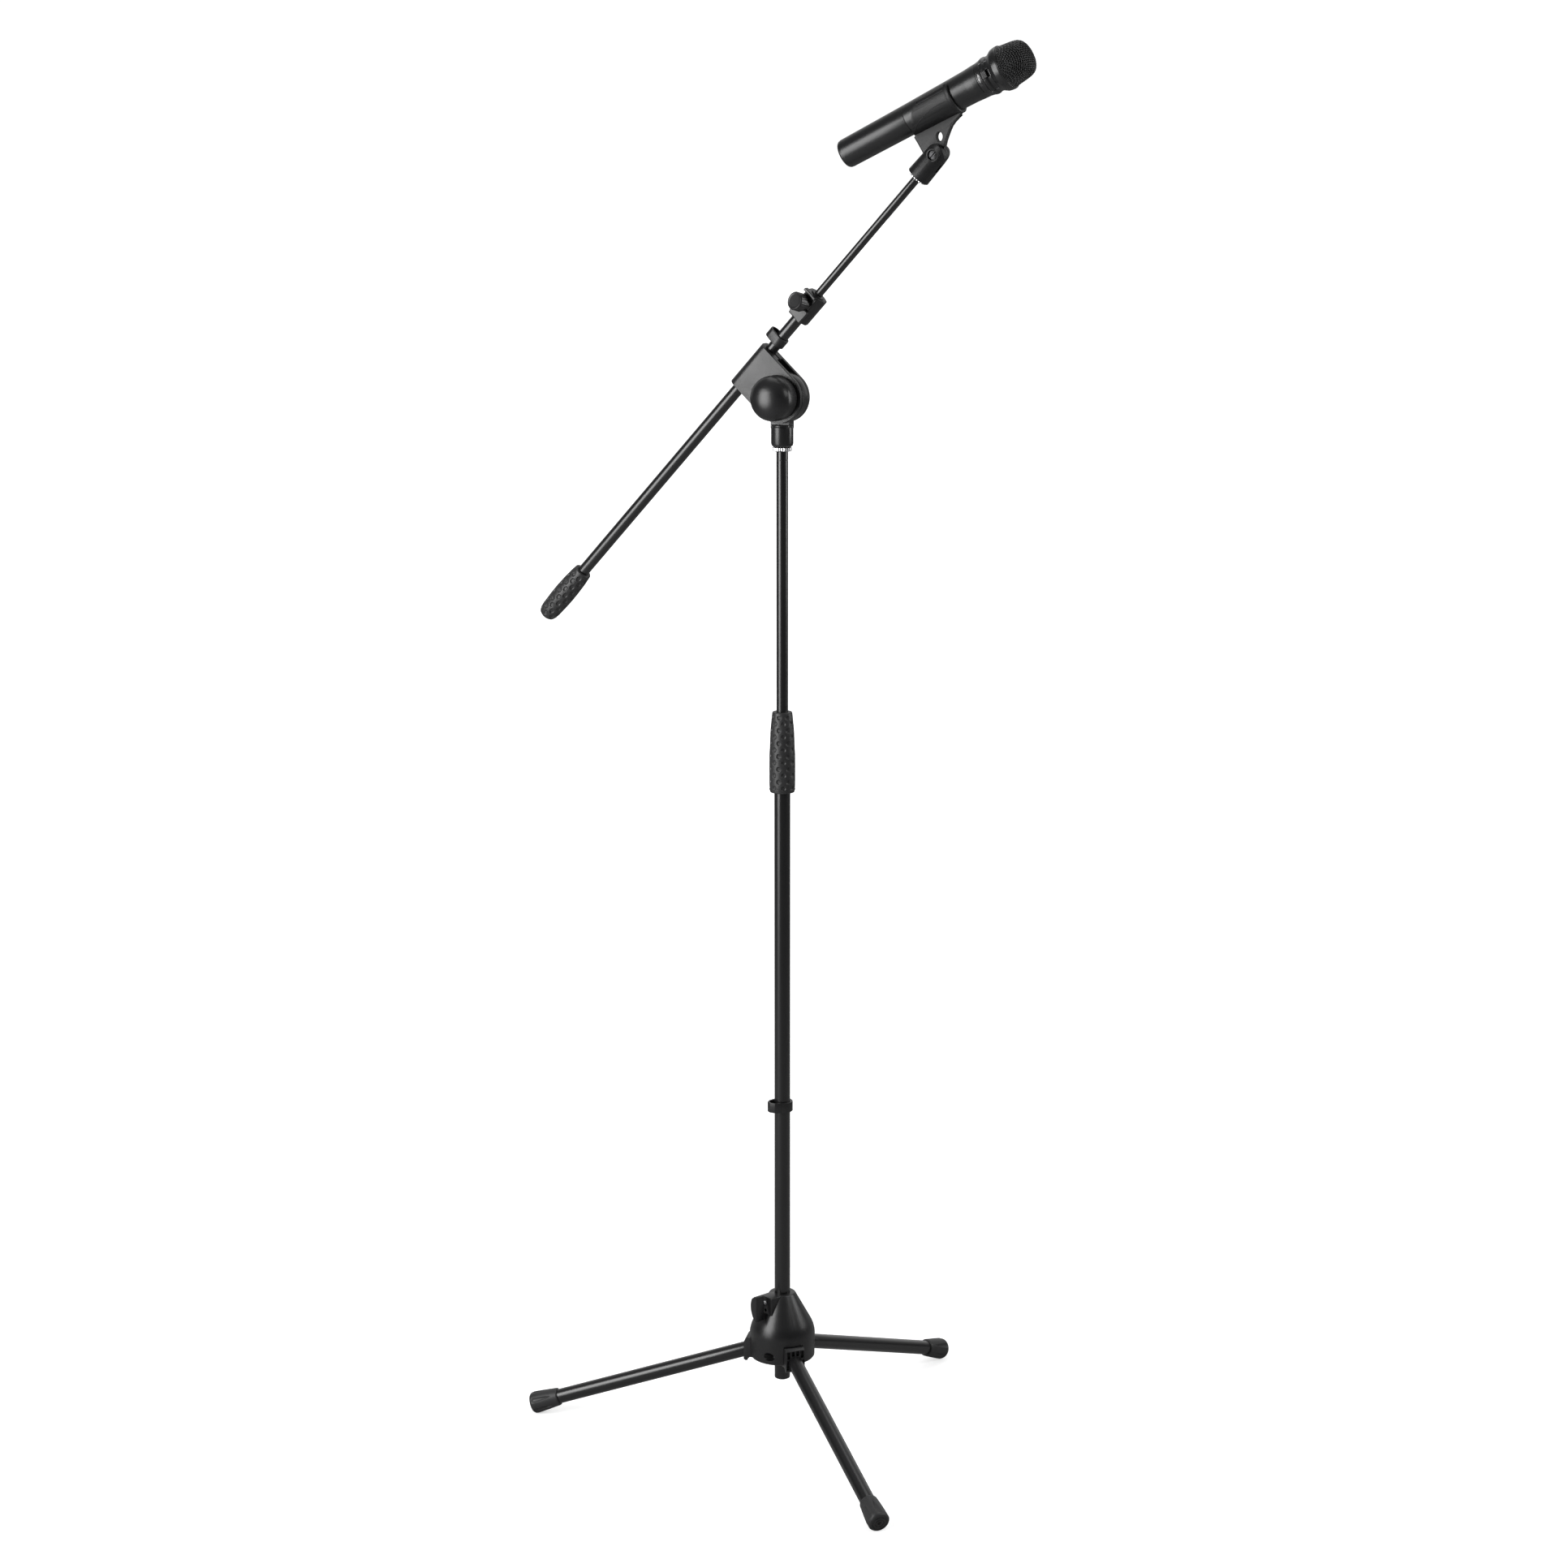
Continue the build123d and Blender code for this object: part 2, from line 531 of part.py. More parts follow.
knob_section = Plane(origin=foot_point + u * lock_t, x_dir=knob_out, z_dir=knob_out.cross(u))
with BuildPart() as boom_lock_knob:
    revolve(profile(knob_section, [(15.2, 2.95), (15.2, 9.6), (16.2, 10.8), (25.8, 10.8), (27.0, 9.4), (27.2, 0),
                                   (21.6, 0), (21.6, 2.95)]),
            axis=Axis(foot_point + u * lock_t, knob_out))
boom_lock_knob.part.label = "boom_lock_knob"
export_step(boom_lock_knob.part, "parts/boom_lock_knob.step")

with BuildPart() as boom_front_rod:
    with BuildSketch(boom_plane.offset(rod_rear)):
        Circle(rod_radius)
        Circle(rod_inner, mode=Mode.SUBTRACT)
    extrude(amount=rod_front - 1.5 - rod_rear)
boom_front_rod.part.label = "boom_front_rod"
export_step(boom_front_rod.part, "parts/boom_front_rod.step")

with BuildPart() as rod_tail_bush:
    revolve(profile(boom_side, [(rod_rear - 4, 0), (rod_rear - 4, 5.0), (rod_rear - 3, boom_inner - running),
                                (rod_rear + 12, boom_inner - running), (rod_rear + 12, rod_radius),
                                (rod_rear, rod_radius), (rod_rear, 0)]), axis=boom_axis)
rod_tail_bush.part.label = "rod_tail_bush"
export_step(rod_tail_bush.part, "parts/rod_tail_bush.step")

with BuildPart() as rod_stud:
    revolve(profile(boom_side, [(rod_front - 20, 0), (rod_front - 20, rod_inner), (rod_front - 1.5, rod_inner),
                                (rod_front - 1.5, stud_radius), (313.4, stud_radius), (314.2, 4.0), (314.2, 0)]),
            axis=boom_axis)
rod_stud.part.label = "rod_stud"
export_step(rod_stud.part, "parts/rod_stud.step")

# ---------------------------------------------------------------- microphone clip
with BuildPart() as base_bar:
    revolve(profile(boom_side, [(rod_front + 1.0, 0), (rod_front + 1.0, 13.8), (clip_t - 2, 12.9), (clip_t + 4, 12.5),
                                (clip_t + 20, 12.2), (clip_t + 20, 0)]), axis=boom_axis)

with BuildPart() as clip_base:
    with BuildSketch(boom_side):
        with Locations(((rod_front + 1.0 + clip_t) / 2, 0)):
            Rectangle(clip_t - rod_front - 1.0, 30)
        with Locations((clip_t, 0)):
            Circle(12.3)
    extrude(amount=15, both=True)
    add(base_bar.part, mode=Mode.INTERSECT)
    # fork slot
    with BuildSketch(boom_plane.offset(clip_t - 14.6)):
        Rectangle(40, 2 * (web_half + 0.35))
    extrude(amount=40, mode=Mode.SUBTRACT)
    # thread insert bore
    with BuildSketch(boom_plane.offset(rod_front - 5)):
        Circle(7.9)
    extrude(amount=20.6, mode=Mode.SUBTRACT)
    # screw hole with a recess for the head on the near side and for the nut on the far side
    clip_hinge = Plane(origin=clip_pivot, x_dir=u, z_dir=n)
    with BuildSketch(clip_hinge):
        Circle(2.5)
    extrude(amount=30, both=True, mode=Mode.SUBTRACT)
    with BuildSketch(clip_hinge.offset(8.4)):
        Circle(5.6)
    extrude(amount=12, mode=Mode.SUBTRACT)
    with BuildSketch(clip_hinge.offset(-8.4)):
        RegularPolygon(5.2, 6)
    extrude(amount=-12, mode=Mode.SUBTRACT)
clip_base.part.label = "clip_base"
export_step(clip_base.part, "parts/clip_base.step")

with BuildPart() as clip_thread_insert:
    with BuildSketch(boom_plane.offset(rod_front - 1.0)):
        Circle(12.4)
    extrude(amount=2.0)
    with BuildSketch(boom_plane.offset(rod_front + 1.0)):
        Circle(7.9)
    extrude(amount=14.6)
    with BuildSketch(boom_plane.offset(rod_front - 5)):
        Circle(stud_radius + running)
    extrude(amount=40, mode=Mode.SUBTRACT)
clip_thread_insert.part.label = "clip_thread_insert"
export_step(clip_thread_insert.part, "parts/clip_thread_insert.step")

with BuildPart() as clip_screw:
    with BuildSketch(clip_hinge.offset(-11.6)):
        Circle(2.5)
    extrude(amount=20.0)
    with BuildSketch(clip_hinge.offset(8.4)):
        Circle(5.0)
    extrude(amount=2.4)
    with BuildSketch(clip_hinge.offset(10.8)):
        Rectangle(12, 1.1)
    extrude(amount=-1.3, mode=Mode.SUBTRACT)
clip_screw.part.label = "clip_screw"
export_step(clip_screw.part, "parts/clip_screw.step")

with BuildPart() as clip_nut:
    with BuildSketch(clip_hinge.offset(-8.4)):
        RegularPolygon(5.2, 6)
        Circle(2.5, mode=Mode.SUBTRACT)
    extrude(amount=-3.0)
clip_nut.part.label = "clip_nut"
export_step(clip_nut.part, "parts/clip_nut.step")


def mic_body_radius(q):
    """Outer radius of the microphone's handle at q along its axis."""
    pts = [(-102.0, 16.5), (-12.0, 17.3), (52.0, 18.4), (70.0, 18.85), (78.0, 19.45), (85.0, 19.75)]
    for (q0, r0), (q1, r1) in zip(pts, pts[1:]):
        if q <= q1:
            return r0 + (r1 - r0) * (q - q0) / (q1 - q0)
    return pts[-1][1]


shell_gap = 0.35
shell_wall = 2.1
shell_rear, shell_front = -15.5, 50.0
inner_rear = mic_body_radius(shell_rear) + shell_gap
inner_seam = mic_body_radius(mic_seam_q) + shell_gap
inner_front = mic_body_radius(shell_front) + shell_gap
with BuildPart() as clip_cradle:
    # shell: an open ring around the microphone with a thicker front lip
    revolve(profile(mic_side, [(shell_rear, 0), (shell_rear, inner_rear + 1.7), (-11, inner_seam + shell_wall),
                               (44, inner_front + shell_wall), (46.5, inner_front + shell_wall + 0.9),
                               (49.2, inner_front + shell_wall + 0.9), (shell_front, inner_front + shell_wall),
                               (shell_front, 0)]), axis=mic_axis)
    # web from the pivot up to the shell
    with BuildSketch(clip_side):
        with BuildLine():
            Polyline((-15.5, mic_offset - 19.0), (-14.2, 24.0), (-13.3, 16.0), (-12.6, 8.5), (-12.25, 1.5),
                     (-8.6, -8.6), (8.6, -8.6), (12.25, 1.5), (15.4, 5.0), (22.0, 10.4), (28.5, 15.6), (34.0, 19.6),
                     (41.0, 25.0), (47.6, mic_offset - 21.0), (44, mic_offset - 17), (-15.5, mic_offset - 17),
                     close=True)
        make_face()
        Circle(12.3)
        with Locations((12.2, 15.0)):
            SlotCenterToCenter(3.4, 4.6, rotation=96, mode=Mode.SUBTRACT)
    extrude(amount=web_half, both=True)
    # room for the microphone
    revolve(profile(mic_side, [(shell_rear - 5, 0), (shell_rear - 5, inner_rear), (mic_seam_q, inner_seam),
                               (shell_front + 5, mic_body_radius(shell_front + 2) + shell_gap),
                               (shell_front + 5, 0)]), axis=mic_axis, mode=Mode.SUBTRACT)
    with BuildSketch(mic_plane.offset(shell_rear - 5)):
        with BuildLine():
            Polyline((0, 0), (40, 55.1), (40, -55.1), close=True)
        make_face()
    extrude(amount=80, mode=Mode.SUBTRACT)
    # slanted rear edge
    with BuildSketch(mic_side):
        with BuildLine():
            Polyline((-15.4, -22.5), (13.8, 22.5), (13.8, 45), (-45, 45), (-45, -22.5), close=True)
        make_face()
    extrude(amount=40, both=True, mode=Mode.SUBTRACT)
    with BuildSketch(clip_side):
        Circle(2.5 + running)
    extrude(amount=20, both=True, mode=Mode.SUBTRACT)
clip_cradle.part.label = "clip_cradle"
export_step(clip_cradle.part, "parts/clip_cradle.step")

# ---------------------------------------------------------------- microphone
with BuildPart() as mic_rear_cover:
    revolve(profile(mic_side, [(-102, 0), (-102, 13.4), (-101.3, 15.1), (-99.8, 16.1), (-97, 16.55),
                               (mic_seam_q, 17.3), (mic_seam_q, 15.6), (-97, 14.7), (-99.4, 12.6), (-99.4, 0)]),
            axis=mic_axis)
mic_rear_cover.part.label = "mic_rear_cover"
export_step(mic_rear_cover.part, "parts/mic_rear_cover.step")

with BuildPart() as mic_body:
    revolve(profile(mic_side, [(mic_seam_q, 15.6), (mic_seam_q, 17.3), (52, 18.4), (70, 18.85), (78, 19.45),
                               (mic_collar_q, 19.75), (mic_collar_q, 17.0), (70, 17.0), (52, 16.5)]), axis=mic_axis)
mic_body.part.label = "mic_body"
export_step(mic_body.part, "parts/mic_body.step")

with BuildPart() as mic_collar:
    revolve(profile(mic_side, [(mic_collar_q, 17.0), (mic_collar_q, 19.75), (88, 20.2), (91, 20.95), (94, 21.9),
                               (96.8, 21.9), (98.8, 21.0), (102, 21.2), (105, 22.9), (108, 24.7), (111, 25.3),
                               (114, 25.6), (grille_q, 25.5), (grille_q, 17.0)]), axis=mic_axis)
    # pocket for the sliding switch, on the tilt knob side
    pocket = Plane(origin=mic_origin + n * 18.2, x_dir=v, z_dir=n)
    with BuildSketch(pocket):
        with Locations((97.8, 0)):
            Rectangle(10.6, 9.2)
    extrude(amount=10, mode=Mode.SUBTRACT)
mic_collar.part.label = "mic_collar"
export_step(mic_collar.part, "parts/mic_collar.step")

with BuildPart() as mic_switch:
    with BuildSketch(pocket.offset(0.35)):
        with Locations((96.1, 0)):
            Rectangle(6.2, 8.4)
    extrude(amount=3.9)
    fillet(mic_switch.faces().sort_by(Axis((0, 0, 0), n))[-1].edges(), radius=0.8)
mic_switch.part.label = "mic_switch"
export_step(mic_switch.part, "parts/mic_switch.step")

with BuildPart() as mic_grille:
    revolve(profile(mic_side, [(grille_q, 23.0), (grille_q, 24.5), (120, 24.0), (124, 23.5), (128, 23.1), (132, 22.6),
                               (136, 21.9), (140, 20.7), (143.4, 18.3), (145.7, 14.6), (146.7, 10.0), (mic_front_q, 0),
                               (145.6, 0), (145.3, 9.7), (144.4, 13.8), (142.2, 17.2), (139.0, 19.4),
                               (135.4, 20.5), (128.0, 21.7), (120.0, 22.6)]), axis=mic_axis)
mic_grille.part.label = "mic_grille"
export_step(mic_grille.part, "parts/mic_grille.step")

with BuildPart() as mic_foam:
    revolve(profile(mic_side, [(grille_q, 20.0), (grille_q, 22.4), (128, 21.4), (135.2, 20.2), (138.6, 19.1),
                               (141.6, 17.0), (143.7, 13.6), (144.6, 9.6), (144.9, 0), (142.9, 0), (142.7, 9.2),
                               (140.6, 12.8), (137.0, 15.6), (130.0, 17.8), (120.0, 19.4)]), axis=mic_axis)
mic_foam.part.label = "mic_foam"
export_step(mic_foam.part, "parts/mic_foam.step")

with BuildPart() as mic_capsule:
    revolve(profile(mic_side, [(107, 0), (107, 17.0), (112, 17.0), (112, 13.5), (133, 13.5), (135, 11.5), (135, 0)]),
            axis=mic_axis)
mic_capsule.part.label = "mic_capsule"
export_step(mic_capsule.part, "parts/mic_capsule.step")

with BuildPart() as mic_board:
    with BuildSketch(mic_side):
        with Locations((34, 0)):
            Rectangle(80, 31.0)
    extrude(amount=0.8, both=True)
mic_board.part.label = "mic_board"
export_step(mic_board.part, "parts/mic_board.step")

with BuildPart() as mic_batteries:
    with BuildSketch(mic_plane.offset(-90)):
        with Locations((7.1, 0), (-7.1, 0)):
            Circle(7.0)
    extrude(amount=50)
mic_batteries.part.label = "mic_batteries"
export_step(mic_batteries.part, "parts/mic_batteries.step")
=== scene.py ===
import bpy
import bmesh
import json
from math import sin, cos, tan, atan2, sqrt, pi, radians, degrees, floor
from mathutils import Vector, Matrix


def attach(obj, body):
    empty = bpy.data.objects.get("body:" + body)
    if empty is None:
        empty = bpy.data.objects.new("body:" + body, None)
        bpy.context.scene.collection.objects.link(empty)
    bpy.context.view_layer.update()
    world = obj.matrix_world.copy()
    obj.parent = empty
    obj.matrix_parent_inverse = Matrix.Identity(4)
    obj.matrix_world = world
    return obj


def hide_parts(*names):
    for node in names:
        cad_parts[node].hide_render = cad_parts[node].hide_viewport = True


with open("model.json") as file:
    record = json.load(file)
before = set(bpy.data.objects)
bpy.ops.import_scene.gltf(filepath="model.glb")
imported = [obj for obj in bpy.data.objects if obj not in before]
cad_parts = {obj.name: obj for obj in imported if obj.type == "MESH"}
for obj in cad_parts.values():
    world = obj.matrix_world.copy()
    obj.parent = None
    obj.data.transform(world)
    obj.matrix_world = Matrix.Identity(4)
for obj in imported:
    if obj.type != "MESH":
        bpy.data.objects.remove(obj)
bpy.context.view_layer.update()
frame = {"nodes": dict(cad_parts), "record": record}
NODES = frame["nodes"]
scene = bpy.context.scene

# ------------------------------------------------------------------ reference frames (metres)
MM = 0.001
X3, Y3, Z3 = Vector((1, 0, 0)), Vector((0, 1, 0)), Vector((0, 0, 1))
PH = radians(47.1)
U = Vector((cos(PH), 0, sin(PH)))            # along the boom
M = Vector((-sin(PH), 0, cos(PH)))           # pivot towards boom axis
N = Vector((0, -1, 0))                       # tilt knob side
PIV = Vector((0, 0, 1272.0))
FT = PIV + M * 47.0
PSI = radians(25.9)
V = Vector((cos(PSI), 0, sin(PSI)))          # along the microphone
W = Vector((-sin(PSI), 0, cos(PSI)))
CP = FT + U * 332.0
MO = CP + W * 49.6
KO = (N * 0.94 + M * 0.3412).normalized()
LEGS = {"front": 316.5, "right": 75.0, "left": 195.8}
CLAMP = radians(248.0)
CD = Vector((cos(CLAMP), sin(CLAMP), 0))


def axes(origin, x, y, z):
    """Matrix taking local millimetres to row-frame metres."""
    m = Matrix(((x.x, y.x, z.x, origin.x), (x.y, y.y, z.y, origin.y), (x.z, y.z, z.z, origin.z), (0, 0, 0, 1)))
    return Matrix.Scale(MM, 4) @ m


COLUMN = axes(Vector((0, 0, 0)), X3, Y3, Z3)
BOOM = axes(FT, M, N, U)                     # local z along the boom
BOOM_SIDE = axes(FT, U, M, N)                # local x along the boom, y = m, z = near side
HEAD = axes(PIV, U, M, N)
TILT = axes(PIV, U, M, N)                    # local z along the tilt axis
MIC = axes(MO, W, N, V)                      # local z along the microphone
MIC_SIDE = axes(MO, V, W, N)
CLIP = axes(CP, V, W, N)
CLIPB = axes(CP, U, M, N)
LOCK = axes(FT + U * 101.0, U, KO.cross(U), KO)
CLAMP_F = axes(Vector((0, 0, 172.2)), Z3.cross(CD), Z3, CD)   # local z outwards along the screw
PADDLE = axes(Vector((0, 0, 172.2)), CD, Z3, CD.cross(Z3))    # local x outwards, y up


def leg_frame(side):
    a = radians(LEGS[side])
    er = Vector((cos(a), sin(a), 0))
    et = Vector((-sin(a), cos(a), 0))
    s = radians(18.575)
    d = er * cos(s) - Z3 * sin(s)
    o = er * 28.0 + Z3 * 108.65
    up = er * sin(s) + Z3 * cos(s)
    return o, er, et, d, up


# ------------------------------------------------------------------ mesh helpers
def make(name, verts, faces, mtx=None, mat=None, smooth=True):
    me = bpy.data.meshes.new(name)
    if mtx is not None:
        verts = [mtx @ Vector(v) for v in verts]
    me.from_pydata([tuple(v) for v in verts], [], faces)
    me.validate()
    bm = bmesh.new()
    bm.from_mesh(me)
    bmesh.ops.remove_doubles(bm, verts=bm.verts, dist=1e-7)
    bmesh.ops.recalc_face_normals(bm, faces=bm.faces)
    bm.to_mesh(me)
    bm.free()
    for p in me.polygons:
        p.use_smooth = smooth
    ob = bpy.data.objects.new(name, me)
    scene.collection.objects.link(ob)
    if mat is not None:
        me.materials.append(mat)
    return ob


def rounded(pts, closed=False, steps=4):
    """Polyline (a, b[, r]) with corners rounded by radius r."""
    out = []
    n = len(pts)
    for i, p in enumerate(pts):
        r = p[2] if len(p) > 2 else 0
        if r <= 0 or (not closed and i in (0, n - 1)):
            out.append((p[0], p[1]))
            continue
        a, b = Vector(pts[i - 1][:2]), Vector(pts[(i + 1) % n][:2])
        c = Vector(p[:2])
        d1, d2 = (a - c), (b - c)
        l1, l2 = d1.length, d2.length
        d1.normalize()
        d2.normalize()
        ang = d1.angle(d2)
        if ang > pi - 0.02:
            out.append((p[0], p[1]))
            continue
        k = min(r / tan(ang / 2), l1 * 0.49, l2 * 0.49)
        rr = k * tan(ang / 2)
        bis = (d1 + d2).normalized()
        ctr = c + bis * (rr / sin(ang / 2))
        s, e = c + d1 * k, c + d2 * k
        a0 = atan2(s.y - ctr.y, s.x - ctr.x)
        a1 = atan2(e.y - ctr.y, e.x - ctr.x)
        da = (a1 - a0 + pi) % (2 * pi) - pi
        for j in range(steps + 1):
            t = a0 + da * j / steps
            out.append((ctr.x + rr * cos(t), ctr.y + rr * sin(t)))
    return out


def lathe(name, pts, mtx, seg=96, closed=False, rfun=None, mat=None, steps=4, refine=None):
    """Turn (z, r[, fillet]) points about the local z axis."""
    prof = rounded(pts, closed, steps)
    if refine:
        fine = []
        loop = prof + ([prof[0]] if closed else [])
        for (a, b), (c, d) in zip(loop, loop[1:]):
            l = sqrt((c - a) ** 2 + (d - b) ** 2)
            k = max(1, int(l / refine)) if (b > 0.01 or d > 0.01) else 1
            for j in range(k):
                fine.append((a + (c - a) * j / k, b + (d - b) * j / k))
        if not closed:
            fine.append(prof[-1])
        prof = fine
    verts, faces, rows = [], [], []
    for i, (z, r) in enumerate(prof):
        if r < 1e-4:
            rows.append([len(verts)])
            verts.append((0, 0, z))
        else:
            row = []
            for j in range(seg):
                th = 2 * pi * j / seg
                rr = rfun(th, z, r) if rfun else r
                row.append(len(verts))
                verts.append((rr * cos(th), rr * sin(th), z))
            rows.append(row)
    pairs = list(zip(rows, rows[1:]))
    if closed:
        pairs.append((rows[-1], rows[0]))
    for a, b in pairs:
        if len(a) == 1 and len(b) == 1:
            continue
        for j in range(seg):
            k = (j + 1) % seg
            if len(a) == 1:
                faces.append((a[0], b[j], b[k]))
            elif len(b) == 1:
                faces.append((a[j], b[0], a[k]))
            else:
                faces.append((a[j], b[j], b[k], a[k]))
    return make(name, verts, faces, mtx, mat)


def prism(name, outline, z0, z1, mtx, mat=None, bevel=0.0, segs=3, holes=()):
    """Extrude a closed outline between local z0 and z1."""
    n = len(outline)
    verts = [(x, y, z0) for x, y in outline] + [(x, y, z1) for x, y in outline]
    faces = [tuple(range(n))[::-1], tuple(range(n, 2 * n))]
    faces += [(i, (i + 1) % n, n + (i + 1) % n, n + i) for i in range(n)]
    ob = make(name, verts, faces, mtx, mat)
    if bevel:
        bevel_mod(ob, bevel, segs)
    return ob


def apply_mods(ob):
    dg = bpy.context.evaluated_depsgraph_get()
    ev = ob.evaluated_get(dg)
    me = bpy.data.meshes.new_from_object(ev, preserve_all_data_layers=True, depsgraph=dg)
    old = ob.data
    ob.modifiers.clear()
    ob.data = me
    bpy.data.meshes.remove(old)
    return ob


def bevel_mod(ob, width_mm, segs=3, angle=30, apply=True):
    md = ob.modifiers.new("bevel", "BEVEL")
    md.width = width_mm * MM
    md.segments = segs
    md.limit_method = "ANGLE"
    md.angle_limit = radians(angle)
    md.harden_normals = False
    md.miter_outer = "MITER_ARC"
    if apply:
        apply_mods(ob)
    return ob


def boolean(ob, tool, op="DIFFERENCE", keep=False):
    md = ob.modifiers.new("bool", "BOOLEAN")
    md.operation = op
    md.solver = "EXACT"
    md.object = tool
    apply_mods(ob)
    if not keep:
        me = tool.data
        bpy.data.objects.remove(tool)
        bpy.data.meshes.remove(me)
    return ob


def smooth_angle(ob, deg=32):
    me = ob.data
    for p in me.polygons:
        p.use_smooth = True
    me.set_sharp_from_angle(angle=radians(deg))
    return ob


def softened(node, width, segs=3, angle=30, name=None, merge=0.002, dissolve=1.0, sharp=40):
    """A copy of a CAD node's mesh with its edges rounded."""
    src = NODES[node]
    me = src.data.copy()
    me.materials.clear()
    ob = bpy.data.objects.new(name or node + "_skin", me)
    scene.collection.objects.link(ob)
    bm = bmesh.new()
    bm.from_mesh(me)
    bmesh.ops.remove_doubles(bm, verts=bm.verts, dist=merge * MM)
    bmesh.ops.dissolve_limit(bm, angle_limit=radians(dissolve), verts=bm.verts, edges=bm.edges)
    bm.to_mesh(me)
    bm.free()
    if hasattr(me, "free_normals_split"):
        pass
    if "custom_normal" in me.attributes:
        me.attributes.remove(me.attributes["custom_normal"])
    bevel_mod(ob, width, segs, angle)
    smooth_angle(ob, sharp)
    return ob


def place(ob, body, slot, *nodes):
    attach(ob, body)
    if nodes:
        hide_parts(*nodes)
    return ob


def smoothstep(a, b, x):
    t = min(1.0, max(0.0, (x - a) / (b - a)))
    return t * t * (3 - 2 * t)


def box_piece(name, x0, x1, y0, y1, z0, z1, mtx, mat=None, bevel=0.3, segs=3):
    return prism(name, [(x0, y0), (x1, y0), (x1, y1), (x0, y1)], z0, z1, mtx, mat, bevel, segs)


def tube_path(name, pts, r, mtx=None, sides=10, mat=None, closed=False, caps=True):
    """A round bar swept along points (local mm)."""
    P = [Vector(p) for p in pts]
    n = len(P)
    verts, faces = [], []
    ref = None
    for i, p in enumerate(P):
        if closed:
            t = (P[(i + 1) % n] - P[i - 1]).normalized()
        else:
            t = (P[min(i + 1, n - 1)] - P[max(i - 1, 0)]).normalized()
        if ref is None:
            ref = t.orthogonal().normalized()
        a = (ref - t * ref.dot(t)).normalized()
        ref = a
        b = t.cross(a)
        rr = r(i / (n - 1)) if callable(r) else r
        for j in range(sides):
            th = 2 * pi * j / sides
            verts.append(p + (a * cos(th) + b * sin(th)) * rr)
    rng = n if closed else n - 1
    for i in range(rng):
        k = (i + 1) % n
        for j in range(sides):
            l = (j + 1) % sides
            faces.append((i * sides + j, i * sides + l, k * sides + l, k * sides + j))
    if not closed and caps:
        faces.append(tuple(range(sides))[::-1])
        faces.append(tuple((n - 1) * sides + j for j in range(sides)))
    return make(name, verts, faces, mtx, mat)


